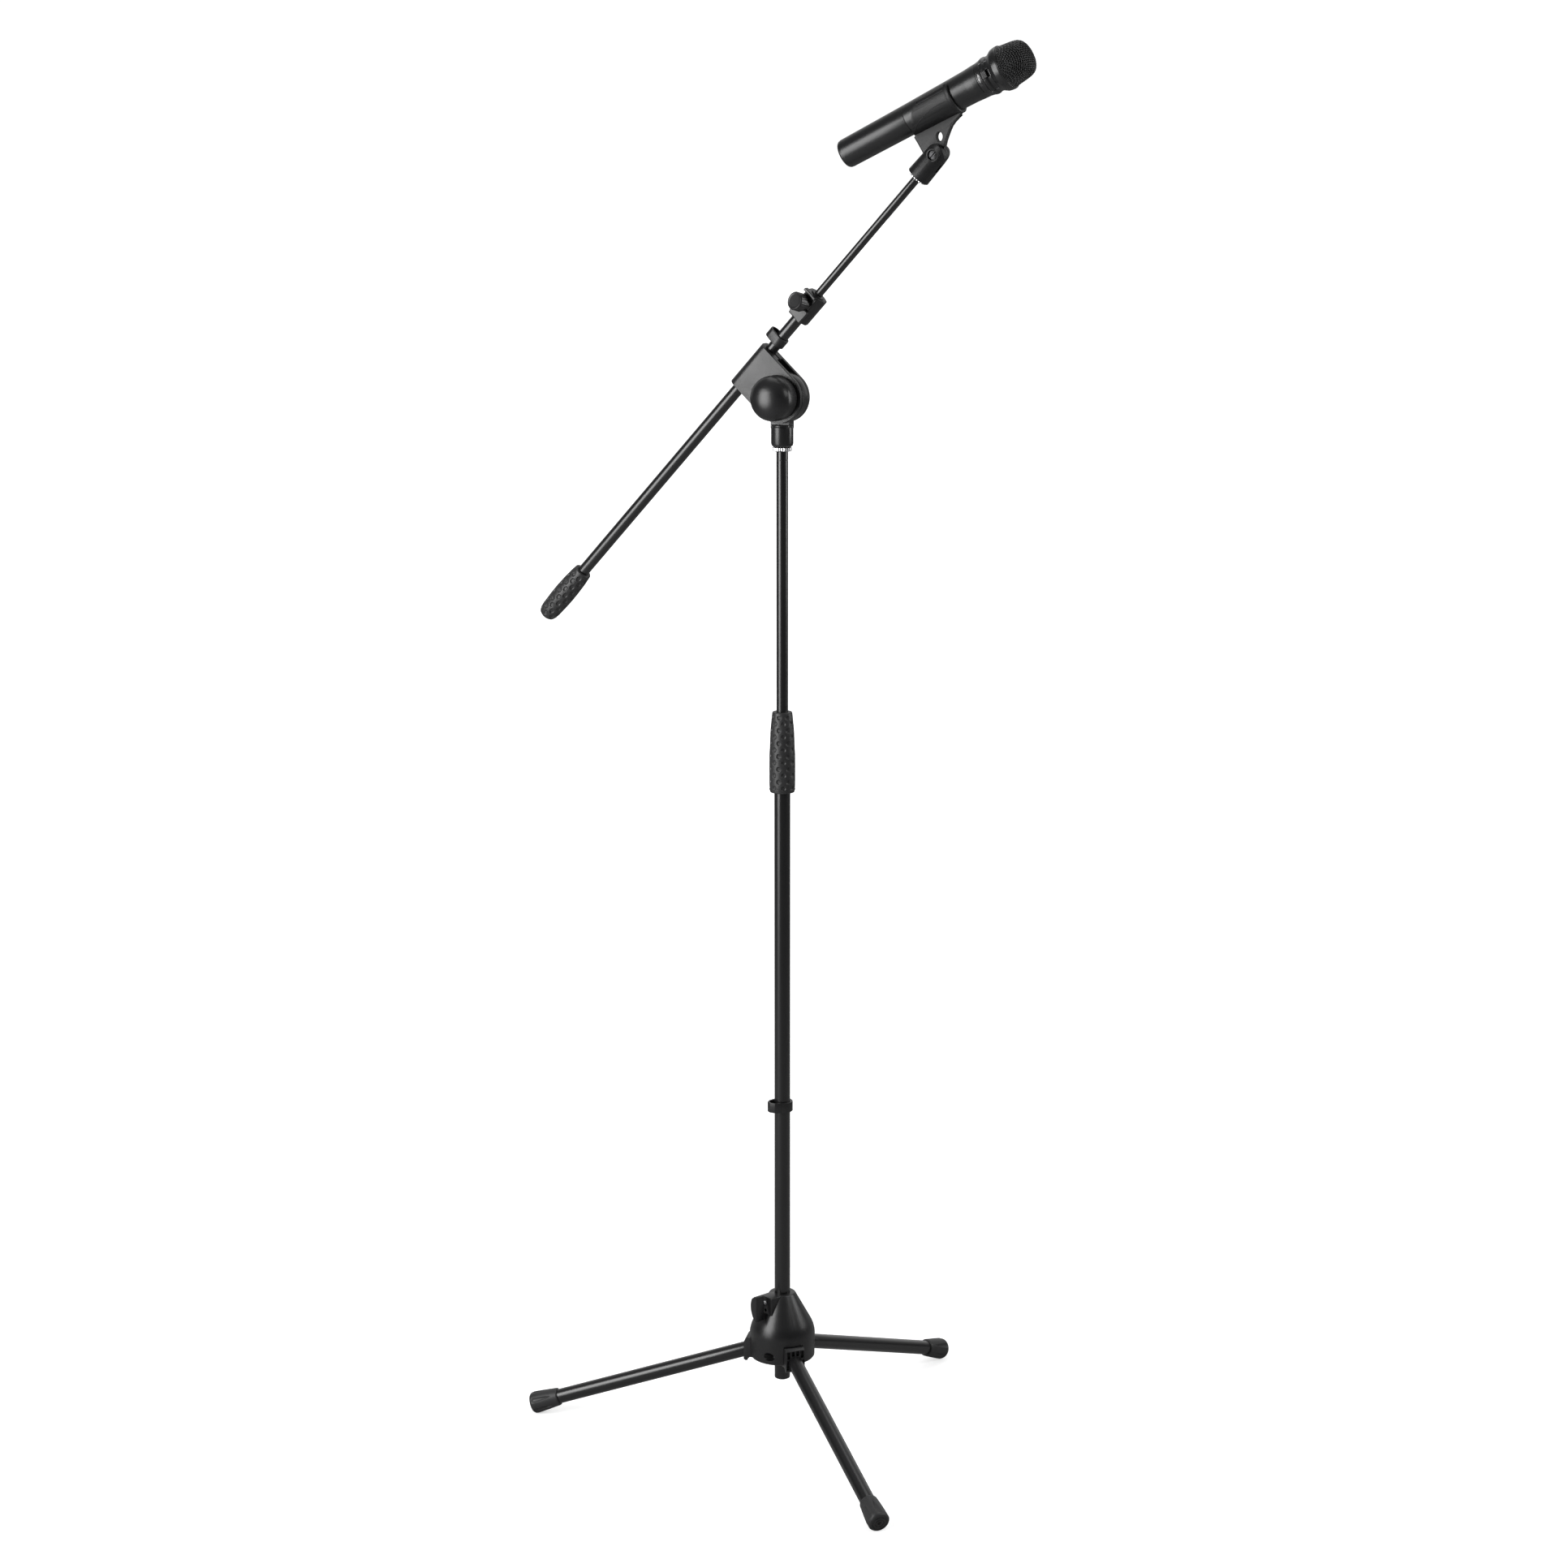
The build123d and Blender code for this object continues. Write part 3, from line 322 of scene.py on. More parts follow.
# ------------------------------------------------------------------ materials
def node_mat(name, base, rough, metal=0.0, base2=None, var_scale=18.0, var_amount=0.5, rough_var=0.08,
             fine_scale=900.0, fine_bump=0.05, coarse_scale=0.0, coarse_bump=0.0, edge=0.0, edge_highlight_colour=None,
             edge_radius=0.9, edge_rough=-0.08, coat=0.0, coat_rough=0.1, spec=0.5, streak=None, streak_bump=0.0,
             aniso=0.0, dust=0.0, sheen=0.0, alpha=None):
    """Procedural material: clouded colour, roughness and grain, with a painted highlight of lighter colour along edges,
    where roughness is also lower.
    """
    m = bpy.data.materials.new(name)
    m.use_nodes = True
    nt = m.node_tree
    nd = nt.nodes
    nd.clear()
    out = nd.new("ShaderNodeOutputMaterial")
    bs = nd.new("ShaderNodeBsdfPrincipled")
    nt.links.new(bs.outputs["BSDF"], out.inputs["Surface"])
    bs.inputs["Metallic"].default_value = metal
    bs.inputs["Coat Weight"].default_value = coat
    bs.inputs["Coat Roughness"].default_value = coat_rough
    bs.inputs["Specular IOR Level"].default_value = spec
    if aniso:
        bs.inputs["Anisotropic"].default_value = aniso
    if sheen:
        bs.inputs["Sheen Weight"].default_value = sheen
        bs.inputs["Sheen Roughness"].default_value = 0.4
    tc = nd.new("ShaderNodeTexCoord")
    src = tc.outputs["Object"]
    base2 = base2 or tuple(min(1.0, c * 1.6 + 0.004) for c in base)

    def noise(scale, detail=4.0, rgh=0.55, vec=None):
        t = nd.new("ShaderNodeTexNoise")
        t.inputs["Scale"].default_value = scale
        t.inputs["Detail"].default_value = detail
        t.inputs["Roughness"].default_value = rgh
        nt.links.new(vec or src, t.inputs["Vector"])
        return t.outputs["Fac"]

    def remap(val, a, b, c, d):
        r = nd.new("ShaderNodeMapRange")
        for k, x in zip(("From Min", "From Max", "To Min", "To Max"), (a, b, c, d)):
            r.inputs[k].default_value = x
        nt.links.new(val, r.inputs["Value"])
        return r.outputs["Result"]

    def math(op, a, b=None):
        x = nd.new("ShaderNodeMath")
        x.operation = op
        for i, val in enumerate((a, b)):
            if val is None:
                continue
            if isinstance(val, (int, float)):
                x.inputs[i].default_value = val
            else:
                nt.links.new(val, x.inputs[i])
        return x.outputs[0]

    def mix(fac, a, b):
        x = nd.new("ShaderNodeMix")
        x.data_type = "RGBA"
        nt.links.new(fac, x.inputs["Factor"])
        for key, val in ((6, a), (7, b)):
            if isinstance(val, tuple):
                x.inputs[key].default_value = (*val, 1)
            else:
                nt.links.new(val, x.inputs[key])
        return x.outputs[2]

    cloud = noise(var_scale, 5.0)
    speck = noise(fine_scale * 0.7, 2.0)
    col = mix(remap(cloud, 0.5 - 0.25 / max(var_amount, 0.01) * 0.5, 0.5 + 0.25 / max(var_amount, 0.01) * 0.5, 0, 1), base, base2)
    rgh = math("ADD", remap(cloud, 0.3, 0.7, rough - rough_var * 0.5, rough + rough_var * 0.5),
               remap(speck, 0.3, 0.7, -rough_var * 0.35, rough_var * 0.35))
    if dust:
        # a little pale dust settled on faces that look up
        geo = nd.new("ShaderNodeNewGeometry")
        sep = nd.new("ShaderNodeSeparateXYZ")
        nt.links.new(geo.outputs["Normal"], sep.inputs[0])
        up = remap(sep.outputs["Z"], 0.2, 1.0, 0.0, dust)
        dst = math("MULTIPLY", up, remap(noise(260.0, 6.0, 0.7), 0.45, 0.75, 0.0, 1.0))
        col = mix(dst, col, (0.16, 0.155, 0.15))
    if edge:
        # painted highlight: the colour is lightened in patches along the edges the Bevel node finds, standing in for
        # light caught by rounded edges; roughness is lowered there too
        bv = nd.new("ShaderNodeBevel")
        bv.samples = 4
        bv.inputs["Radius"].default_value = edge_radius * MM
        geo2 = nd.new("ShaderNodeNewGeometry")
        dot = nd.new("ShaderNodeVectorMath")
        dot.operation = "DOT_PRODUCT"
        nt.links.new(bv.outputs["Normal"], dot.inputs[0])
        nt.links.new(geo2.outputs["Normal"], dot.inputs[1])
        e = remap(dot.outputs["Value"], 0.985, 0.86, 0.0, 1.0)
        e = math("MULTIPLY", e, remap(noise(140.0, 5.0, 0.65), 0.38, 0.62, 0.25, 1.0))
        e = math("MULTIPLY", e, edge)
        col = mix(e, col, edge_highlight_colour or tuple(min(1.0, c * 3.5 + 0.02) for c in base))
        rgh = math("ADD", rgh, math("MULTIPLY", e, edge_rough))
    nt.links.new(col, bs.inputs["Base Color"])
    nt.links.new(rgh, bs.inputs["Roughness"])
    height = None
    if fine_bump:
        height = math("MULTIPLY", noise(fine_scale, 3.0, 0.6), fine_bump)
    if coarse_bump:
        h2 = math("MULTIPLY", noise(coarse_scale, 3.0, 0.5), coarse_bump)
        height = math("ADD", height, h2) if height is not None else h2
    if streak_bump:
        mp = nd.new("ShaderNodeMapping")
        mp.inputs["Scale"].default_value = streak
        nt.links.new(src, mp.inputs["Vector"])
        h3 = math("MULTIPLY", noise(1.0, 3.0, 0.6, mp.outputs["Vector"]), streak_bump)
        height = math("ADD", height, h3) if height is not None else h3
    if height is not None:
        bp = nd.new("ShaderNodeBump")
        bp.inputs["Strength"].default_value = 1.0
        bp.inputs["Distance"].default_value = 0.0003
        nt.links.new(height, bp.inputs["Height"])
        nt.links.new(bp.outputs["Normal"], bs.inputs["Normal"])
    return m


MAT = {
    "tube_black": node_mat("tube_black", (0.0065, 0.0065, 0.007), 0.29, fine_scale=2600, fine_bump=0.02, spec=0.5,
                           rough_var=0.03, var_scale=9, base2=(0.009, 0.009, 0.0095), coat=0.35, coat_rough=0.2),
    "die_cast_black": node_mat("die_cast_black", (0.008, 0.008, 0.0085), 0.30, fine_scale=1500, fine_bump=0.13,
                               edge=0.5, edge_highlight_colour=(0.035, 0.035, 0.036), coarse_scale=240, coarse_bump=0.22),
    "holder_plastic": node_mat("holder_plastic", (0.010, 0.010, 0.0105), 0.38, fine_scale=1900, fine_bump=0.10,
                               edge=0.35, edge_highlight_colour=(0.04, 0.04, 0.04)),
    "foot_plastic": node_mat("foot_plastic", (0.021, 0.021, 0.0215), 0.46, fine_scale=1600, fine_bump=0.13,
                             edge=0.35, edge_highlight_colour=(0.035, 0.035, 0.035)),
    "grip_plastic": node_mat("grip_plastic", (0.019, 0.019, 0.0195), 0.42, fine_scale=1600, fine_bump=0.10,
                             edge=0.2, edge_highlight_colour=(0.03, 0.03, 0.03)),
    "knob_plastic": node_mat("knob_plastic", (0.008, 0.008, 0.0085), 0.30, fine_scale=1800, fine_bump=0.08,
                             edge=0.35, edge_highlight_colour=(0.04, 0.04, 0.04)),
    "clip_plastic": node_mat("clip_plastic", (0.010, 0.010, 0.0105), 0.36, fine_scale=1500, fine_bump=0.08,
                             edge=0.3, edge_highlight_colour=(0.04, 0.04, 0.04)),
    "mic_clip_plastic": node_mat("mic_clip_plastic", (0.0075, 0.0075, 0.008), 0.43, fine_scale=1700, fine_bump=0.14, spec=0.34,
                                 edge=0.3, edge_highlight_colour=(0.035, 0.035, 0.035)),
    "mic_paint": node_mat("mic_paint", (0.011, 0.0113, 0.012), 0.33, metal=0.15, fine_scale=3200, fine_bump=0.07,
                          coat=0.15, coat_rough=0.3, base2=(0.015, 0.0154, 0.016), var_scale=14),
    "mic_collar_plastic": node_mat("mic_collar_plastic", (0.010, 0.010, 0.0105), 0.27, fine_scale=2400,
                                   fine_bump=0.05, edge=0.25, edge_highlight_colour=(0.04, 0.04, 0.04)),
    "window_gloss": node_mat("window_gloss", (0.014, 0.014, 0.015), 0.08, fine_scale=2400, fine_bump=0.02, rough_var=0.03,
                             coat=0.6, coat_rough=0.05),
    "switch_plastic": node_mat("switch_plastic", (0.013, 0.013, 0.0135), 0.40, fine_scale=2200, fine_bump=0.08,
                               edge=0.3),
    "steel_zinc": node_mat("steel_zinc", (0.42, 0.42, 0.41), 0.34, metal=1.0, base2=(0.55, 0.54, 0.51),
                           fine_scale=2400, fine_bump=0.06, edge=0.2, edge_highlight_colour=(0.7, 0.7, 0.7)),
    "chrome_steel": node_mat("chrome_steel", (0.62, 0.62, 0.63), 0.14, metal=1.0, base2=(0.70, 0.70, 0.71),
                             fine_scale=2600, fine_bump=0.03, rough_var=0.05),
    "screw_dark": node_mat("screw_dark", (0.018, 0.018, 0.019), 0.30, metal=0.6, base2=(0.03, 0.03, 0.032),
                           fine_scale=2600, fine_bump=0.05, edge=0.4, edge_highlight_colour=(0.3, 0.3, 0.3)),
    "hub_cast": node_mat("hub_cast", (0.008, 0.008, 0.0085), 0.33, fine_scale=1500, fine_bump=0.05,
                         edge=0.5, edge_highlight_colour=(0.04, 0.04, 0.041), coarse_scale=240, coarse_bump=0.05),
    "clevis_cast": node_mat("clevis_cast", (0.011, 0.011, 0.0115), 0.34, fine_scale=1300, fine_bump=0.20,
                            edge=0.85, edge_highlight_colour=(0.10, 0.10, 0.10), coarse_scale=260, coarse_bump=0.30),
    "brass": node_mat("brass", (0.60, 0.43, 0.18), 0.30, metal=1.0, base2=(0.66, 0.49, 0.23), fine_scale=2400,
                      fine_bump=0.05),
    "white_nylon": node_mat("white_nylon", (0.66, 0.65, 0.61), 0.45, base2=(0.72, 0.71, 0.68), fine_scale=1800,
                            fine_bump=0.06),
    "fibre_disc": node_mat("fibre_disc", (0.10, 0.055, 0.035), 0.75, base2=(0.13, 0.075, 0.05), fine_scale=1400,
                           fine_bump=0.25),
    "grille_wire": node_mat("grille_wire", (0.05, 0.05, 0.051), 0.34, metal=0.7, fine_scale=3000, fine_bump=0.05,
                            base2=(0.065, 0.065, 0.066)),
    "capsule_metal": node_mat("capsule_metal", (0.30, 0.30, 0.31), 0.35, metal=1.0, fine_scale=2400, fine_bump=0.06),
    "foam": node_mat("foam", (0.012, 0.012, 0.012), 0.95, fine_scale=1300, fine_bump=1.4, spec=0.2, sheen=0.1,
                     base2=(0.02, 0.02, 0.02)),
    "circuit_board": node_mat("circuit_board", (0.02, 0.11, 0.045), 0.35, fine_scale=1200, fine_bump=0.15,
                              base2=(0.03, 0.15, 0.06)),
    "battery_cell": node_mat("battery_cell", (0.05, 0.05, 0.055), 0.3, fine_scale=1400, fine_bump=0.04,
                             base2=(0.25, 0.17, 0.05), var_scale=60),
}


# ------------------------------------------------------------------ relief on turned surfaces
def dimple_rows(n, z0, pitch, rows, rx, rz, depth, bore, phase=0.0):
    """Staggered rounded hollows pressed into a turned surface."""
    def f(th, z, r):
        if r < bore:
            return r
        i = int(round((z - z0) / pitch))
        best = 0.0
        for k in (i - 1, i, i + 1):
            if k < 0 or k >= rows:
                continue
            dz = z - (z0 + k * pitch)
            if abs(dz) >= rz:
                continue
            step = 2 * pi / n
            off = phase + (k % 2) * step / 2
            a = (th - off + step / 2) % step - step / 2
            e = (a * r / rx) ** 2 + (dz / rz) ** 2
            if e < 1:
                best = max(best, depth * min(1.0, (1 - e) * 1.7) ** 0.75)
        return r - best
    return f


def knurl(count, depth, rmin, z0=-1e9, z1=1e9, twist=0.0):
    def f(th, z, r):
        if r < rmin or z < z0 or z > z1:
            return r
        t = ((th + twist * z) * count / (2 * pi)) % 1.0
        return r - depth * (1 - abs(2 * t - 1)) ** 1.3
    return f


def node_fill(name, slot_name):
    ob = NODES[name]
    me = ob.data
    if len(me.materials) == 0:
        me.materials.append(MAT[slot_name])
    else:
        for i in range(len(me.materials)):
            me.materials[i] = MAT[slot_name]


for sub in frame["record"]["subparts"]:
    node_fill(sub["node"], sub["material_slot"])


def tube_piece(name, mtx, z0, z1, ro, ri, slot_name, body, node, seg=72, edge=0.35, lip=None, cut=8):
    """A long tube with rolled ends, a few rings along it so its shading stays even."""
    outer = [(z0, ro, edge)]
    outer += [(z0 + (z1 - z0) * i / cut, ro) for i in range(1, cut)]
    outer += [(z1, ro, edge), (z1, ri, edge * 0.6), (z0, ri, edge * 0.6)]
    ob = lathe(name, outer, mtx, seg=seg, closed=True, mat=MAT[slot_name], steps=5)
    return place(ob, body, slot_name, node)


# ------------------------------------------------------------------ tripod base
hub = softened("hub_casting", 0.9, segs=3, angle=28, name="hub_shell", dissolve=0.6, sharp=44)
for side in LEGS:
    o, er, et, d, up = leg_frame(side)
    PIN = axes(o, er, -Z3, et)               # local z along the leg pivot pin
    for tag in ("plug", "sleeve"):
        if tag == "plug":
            tool = lathe("tool", [(14.0, 0), (14.0, 6.4), (44.0, 6.4), (44.0, 0)], PIN, seg=48)
        else:
            tool = lathe("tool", [(-44.0, 5.2), (-44.0, 7.4), (-16.6, 7.4), (-16.6, 5.2)], PIN, seg=48, closed=True)
        env = lathe("env", [(100.1, 0), (100.1, 39.56), (116.5, 39.96), (129.0, 39.96), (129.0, 0)], COLUMN, seg=180)
        boolean(tool, env, "INTERSECT")
        boolean(hub, tool, "UNION")
    cap = lathe("hub_pin_cap_" + side, [(-16.7, 0), (-16.7, 5.05, 0.3), (-20.6, 5.05, 0.5), (-20.6, 3.7, 0.2), (-19.9, 3.4, 0.2),
                                        (-19.9, 0)], PIN, seg=48, mat=MAT["holder_plastic"])
    place(cap, "base", "holder_plastic")
# the boss is wider on the side of the clamp screw's clockwise face
tool = box_piece("tool", 3.3, 10.6, -15.2, 7.5, 10.4, 27.4, CLAMP_F, None, 1.3, 4)
boolean(hub, tool, "UNION")
smooth_angle(hub, 40)
hub.data.materials.append(MAT["hub_cast"])
place(hub, "base", "die_cast_black", "hub_casting")

pad_frame = CLAMP_F
shank = []
z = 13.3
while z < 33.0:
    shank += [(z, 2.55), (z + 0.45, 2.94), (z + 0.75, 2.94)]
    z += 1.1
shank = [(13.3, 0)] + [(13.3, 2.2)] + shank + [(33.4, 2.9), (39.4, 2.9, 0.3), (39.4, 0)]
screw = lathe("base_screw_thread", shank, CLAMP_F, seg=40, mat=MAT["chrome_steel"], steps=2)
place(screw, "base_knob", "chrome_steel", "base_clamp_screw")

pk = [(4.3, 12.3, 1.2), (4.3, -20.3, 1.2), (1.2, -19.6, 3.0), (-3.4, -13.7, 7.0), (-6.1, -5.9, 8.0), (-6.6, 0.7, 8.0),
      (-4.9, 8.2, 5.0), (0.0, 12.0, 3.0)]
# outline points are (across, up) in the clamp frame; the frame is x = across, y = up, z = outwards
paddle = prism("base_paddle", rounded(pk, True, 7), 33.8, 46.6, CLAMP_F, MAT["knob_plastic"], 0.8, 4)
smooth_angle(paddle, 38)
place(paddle, "base_knob", "knob_plastic", "base_clamp_knob")
collar_ring = lathe("base_paddle_collar", [(32.9, 3.05), (32.9, 4.3, 0.3), (34.2, 4.5, 0.2), (34.2, 3.05)], CLAMP_F, seg=48,
                    closed=True, mat=MAT["knob_plastic"])
place(collar_ring, "base_knob", "knob_plastic")

for side in LEGS:
    o, er, et, d, up = leg_frame(side)
    body = "leg_" + side
    LEG = axes(o, up, d.cross(up), d)
    HOLD = axes(Vector((0, 0, 0)), er, et, Z3)

    holder = softened("leg_holder_" + side, 0.6, segs=3, angle=30, name="holder_" + side, dissolve=0.8)
    holder.data.materials.append(MAT["holder_plastic"])
    # hollows between the ribs above the tube
    for k, yc in enumerate((-8.55, -2.85, 2.85, 8.55)):
        zb = 113.6 if abs(yc) < 5 else 110.8
        tool = box_piece("tool", 41.6, 49.0, yc - 2.05, yc + 2.05, zb - 1.4, 118.2, HOLD, None, 0.35, 2)
        boolean(holder, tool)
    for yc in (-9.9, 9.9):
        tool = box_piece("tool", 42.6, 49.0, yc - 1.5, yc + 1.5, 95.4, 107.0, HOLD, None, 0.3, 2)
        boolean(holder, tool)
    smooth_angle(holder, 40)
    place(holder, body, "holder_plastic", "leg_holder_" + side)

    tube_piece("leg_pipe_" + side, LEG, 9.0, 300.5, 9.0, 7.9, "tube_black", body, "leg_tube_" + side, cut=6)

    def flutes(th, z, r):
        if r < 9.2:
            return r
        out_r = r
        k = smoothstep(276.0, 283.0, z) * (1 - smoothstep(300.2, 304.0, z))
        if k > 0:
            step = 2 * pi / 6
            a = (th + step / 2) % step - step / 2
            half = (0.8 + 2.4 * smoothstep(276, 300, z)) / r
            e = abs(a) / half
            if e < 1:
                out_r = r - 1.35 * k * (1 - e * e) ** 0.8
        return out_r

    foot = lathe("foot_cap_" + side,
                 [(269.5, 9.02), (269.5, 10.4, 0.6), (271.0, 11.0, 1.2), (275.0, 11.35, 1.5), (286.0, 12.4),
                  (297.5, 13.35), (300.5, 13.5, 3), (303.5, 13.1, 3), (305.7, 11.6, 1.5), (306.4, 9.6, 0.4), (305.7, 9.0, 0.3),
                  (305.7, 8.2, 0.3), (306.4, 7.7, 0.3), (306.4, 6.1, 0.3), (305.6, 5.6, 0.3), (305.6, 4.5, 0.3),
                  (306.4, 4.0, 0.3), (306.3, 2.6, 0.5), (304.4, 1.2, 0.6), (304.2, 0)],
                 LEG, seg=192, rfun=flutes, mat=MAT["foot_plastic"], refine=0.9)
    # vertices of the cap that reach below the floor are lifted to just above it
    bm = bmesh.new()
    bm.from_mesh(foot.data)
    for vtx in bm.verts:
        if vtx.co.z < 0.00002:
            vtx.co.z = 0.00002
    bm.to_mesh(foot.data)
    bm.free()
    smooth_angle(foot, 45)
    place(foot, body, "foot_plastic", "leg_foot_" + side)

# ------------------------------------------------------------------ column
tube_piece("column_lower", COLUMN, 70.2, 846.0, 9.5, 8.0, "tube_black", "column", "lower_tube", seg=96, cut=12, edge=0.5)
upper = tube_piece("column_upper", COLUMN, 484.0, 1209.0, 6.9, 5.8, "tube_black", "mast", "upper_tube", seg=80, cut=12)
for azm, wid, hgt in ((352.0, 3.2, 0.62), (277.0, 0.75, 0.75)):
    cr_ = Vector((cos(radians(azm)), sin(radians(azm)), 0))
    tool = box_piece("tool", 6.15, 8.5, -wid, wid, -hgt, hgt, axes(Vector((0, 0, 1199.0)), cr_, Z3.cross(cr_), Z3), None, 0.2, 2)
    boolean(upper, tool)
smooth_angle(upper, 35)
plug = lathe("column_end_plug", [(68.2, 0), (68.2, 7.4, 0.8), (69.2, 9.3, 0.5), (70.2, 9.5, 0.2), (70.2, 8.0), (84.0, 7.98, 0.3),
                                 (84.0, 6.4, 0.3), (72.2, 6.4), (72.2, 0)], COLUMN, seg=72, mat=MAT["foot_plastic"])
place(plug, "column", "foot_plastic", "tube_end_plug")

clip = softened("column_cable_clip", 0.45, segs=3, angle=25, name="column_clip_band", dissolve=0.5)
clip.data.materials.append(MAT["clip_plastic"])
place(clip, "column_clip", "clip_plastic", "column_cable_clip")

grip = lathe("clutch_grip_sleeve",
             [(805.2, 11.7), (805.2, 14.2, 0.6), (806.4, 14.7, 0.6), (812, 15.3, 3), (820, 15.4, 4), (840, 15.4, 4), (850, 15.3, 4),
              (862, 14.7, 4), (875, 14.3, 4), (886, 13.5, 4), (897, 12.4, 2), (901, 11.9, 0.6), (902, 11.2, 0.5),
              (902, 7.2, 0.4), (884.5, 7.2), (883, 9.2), (870, 11.7)],
             COLUMN, seg=240, closed=True, mat=MAT["grip_plastic"], refine=0.55,
             rfun=dimple_rows(8, 811.8, 7.7, 12, 2.85, 2.85, 1.25, 12.3, phase=0.553))
place(grip, "clutch", "grip_plastic", "clutch_grip")
base_ring = lathe("clutch_grip_foot_ring", [(808.0, 14.9, 0.2), (808.0, 15.35, 0.25), (809.4, 15.4, 0.25), (809.4, 15.0, 0.2)],
                  COLUMN, seg=120, closed=True, mat=MAT["grip_plastic"])
place(base_ring, "clutch", "grip_plastic")

ring = lathe("lock_ring_knurled", [(1209.3, 4.85), (1209.3, 10.3, 0.4), (1210.1, 11.4, 0.3), (1213.6, 11.4, 0.3),
                                   (1214.4, 10.3, 0.4), (1214.4, 4.85)],
             COLUMN, seg=168, closed=True, rfun=knurl(28, 0.9, 9.9), mat=MAT["chrome_steel"], refine=0.5)
place(ring, "lock_ring", "chrome_steel", "lock_ring")

# ------------------------------------------------------------------ head
sock = softened("swivel_socket", 0.7, segs=3, angle=28, name="swivel_casting", dissolve=0.6, sharp=42)
sock.data.materials.append(MAT["die_cast_black"])
place(sock, "mast", "die_cast_black", "swivel_socket")

clev = softened("boom_clevis", 1.1, segs=4, angle=28, name="clevis_casting", dissolve=0.6, sharp=42)
clev.data.materials.append(MAT["clevis_cast"])
place(clev, "boom_head", "die_cast_black", "boom_clevis")

bolt = lathe("pivot_bolt_head", [(-17.3, 0), (-17.2, 2.6), (-16.9, 4.4), (-16.2, 6.2), (-15.2, 7.7), (-13.9, 8.7), (-12.9, 9.0, 0.3),
                                 (-12.6, 8.8, 0.1), (-12.6, 4.0), (33.4, 4.0, 0.3), (34.0, 3.3), (34.0, 0)],
             TILT, seg=64, mat=MAT["steel_zinc"])
place(bolt, "boom_head", "steel_zinc", "pivot_bolt")
wash = lathe("pivot_washer_disc", [(12.6, 4.0), (12.6, 11.0, 0.3), (14.3, 11.0, 0.3), (14.3, 4.0)], TILT, seg=72, closed=True,
             mat=MAT["steel_zinc"])
place(wash, "boom_head", "steel_zinc", "pivot_washer")


def knob_relief(th, z, r):
    if r > 25.4 and 15.0 < z < 28.2:
        t = (th * 96 / (2 * pi)) % 1.0
        return r - 0.34 * (1 - abs(2 * t - 1)) * smoothstep(15.0, 15.9, z) * (1 - smoothstep(27.0, 28.2, z))
    return r


dome = [(14.6, 10.0), (14.6, 24.2, 0.6), (15.4, 26.3, 0.6), (27.4, 26.3, 0.5), (28.3, 26.1, 0.3)]
for j in range(1, 41):
    t = (pi / 2) * j / 40
    dome.append((28.3 + 17.4 * sin(t), 26.0 * cos(t) ** 0.94 if j < 40 else 0.0))
knob = lathe("tilt_knob_dome", dome, TILT, seg=576, mat=MAT["knob_plastic"], steps=5, rfun=knob_relief)
# under side of the knob, hollow around its insert
place(knob, "tilt_knob", "knob_plastic", "tilt_knob")
knob_back = lathe("tilt_knob_back", [(14.65, 10.0), (14.65, 24.0), (17.0, 24.0, 0.8), (17.0, 12.4, 0.8), (36.0, 11.0), (36.0, 8.0),
                                     (18.0, 8.0), (18.0, 10.0)], TILT, seg=72, closed=True, mat=MAT["knob_plastic"])
place(knob_back, "tilt_knob", "knob_plastic")

# ------------------------------------------------------------------ boom
rear = tube_piece("boom_pipe", BOOM, -412.0, 110.0, 7.0, 5.8, "tube_black", "boom", "boom_rear_tube", seg=80, cut=10)
tool = lathe("tool", [(4.0, 0), (4.0, 3.3), (9.0, 3.3), (9.0, 0)], LOCK, seg=40)
boolean(rear, tool)                          # hole for the clamp screw
smooth_angle(rear, 35)
tube_piece("rod_pipe", BOOM, -150.0, 297.5, 4.75, 3.25, "tube_black", "rod", "boom_front_rod", seg=64, cut=10)

bgrip = lathe("boom_grip_sleeve",
              [(-412.0, 6.4), (-412.0, 7.05), (-342.0, 7.05), (-342.0, 10.1, 0.5), (-342.8, 10.8, 0.5), (-352, 11.9, 4),
               (-362, 12.6, 4), (-372, 13.0, 4), (-380, 13.2, 4), (-389, 13.1, 4), (-399, 12.65, 4), (-408, 12.25, 3),
               (-414, 11.45, 3), (-418.2, 9.6, 2.5), (-420.4, 6.4, 2), (-421, 3.0, 1), (-421, 0)],
              BOOM, seg=240, mat=MAT["grip_plastic"], refine=0.55,
              rfun=dimple_rows(8, -412.0, 7.0, 10, 2.7, 3.5, 1.15, 10.9, phase=0.1))
place(bgrip, "boom", "grip_plastic", "boom_grip")

def hull(big, small, dist, n=24):
    """Outline round two circles on the x axis."""
    a = pi / 2 - atan2(big - small, sqrt(dist * dist - (big - small) ** 2))
    pts_ = [(big * cos(a + (2 * pi - 2 * a) * j / n), big * sin(a + (2 * pi - 2 * a) * j / n)) for j in range(n + 1)]
    return pts_ + [(dist + small * cos(-a + 2 * a * j / n), small * sin(-a + 2 * a * j / n)) for j in range(n + 1)]


bclip = prism("boom_clip_band", hull(9.2, 7.4, 9.8, 40), 39.6, 51.0, BOOM, MAT["clip_plastic"])
tool = prism("tool", hull(7.05, 5.4, 9.8, 40), 38.0, 52.5, BOOM)
boolean(bclip, tool)
bevel_mod(bclip, 0.5, 3, 40)
smooth_angle(bclip, 35)
place(bclip, "boom_clip", "clip_plastic", "boom_cable_clip")

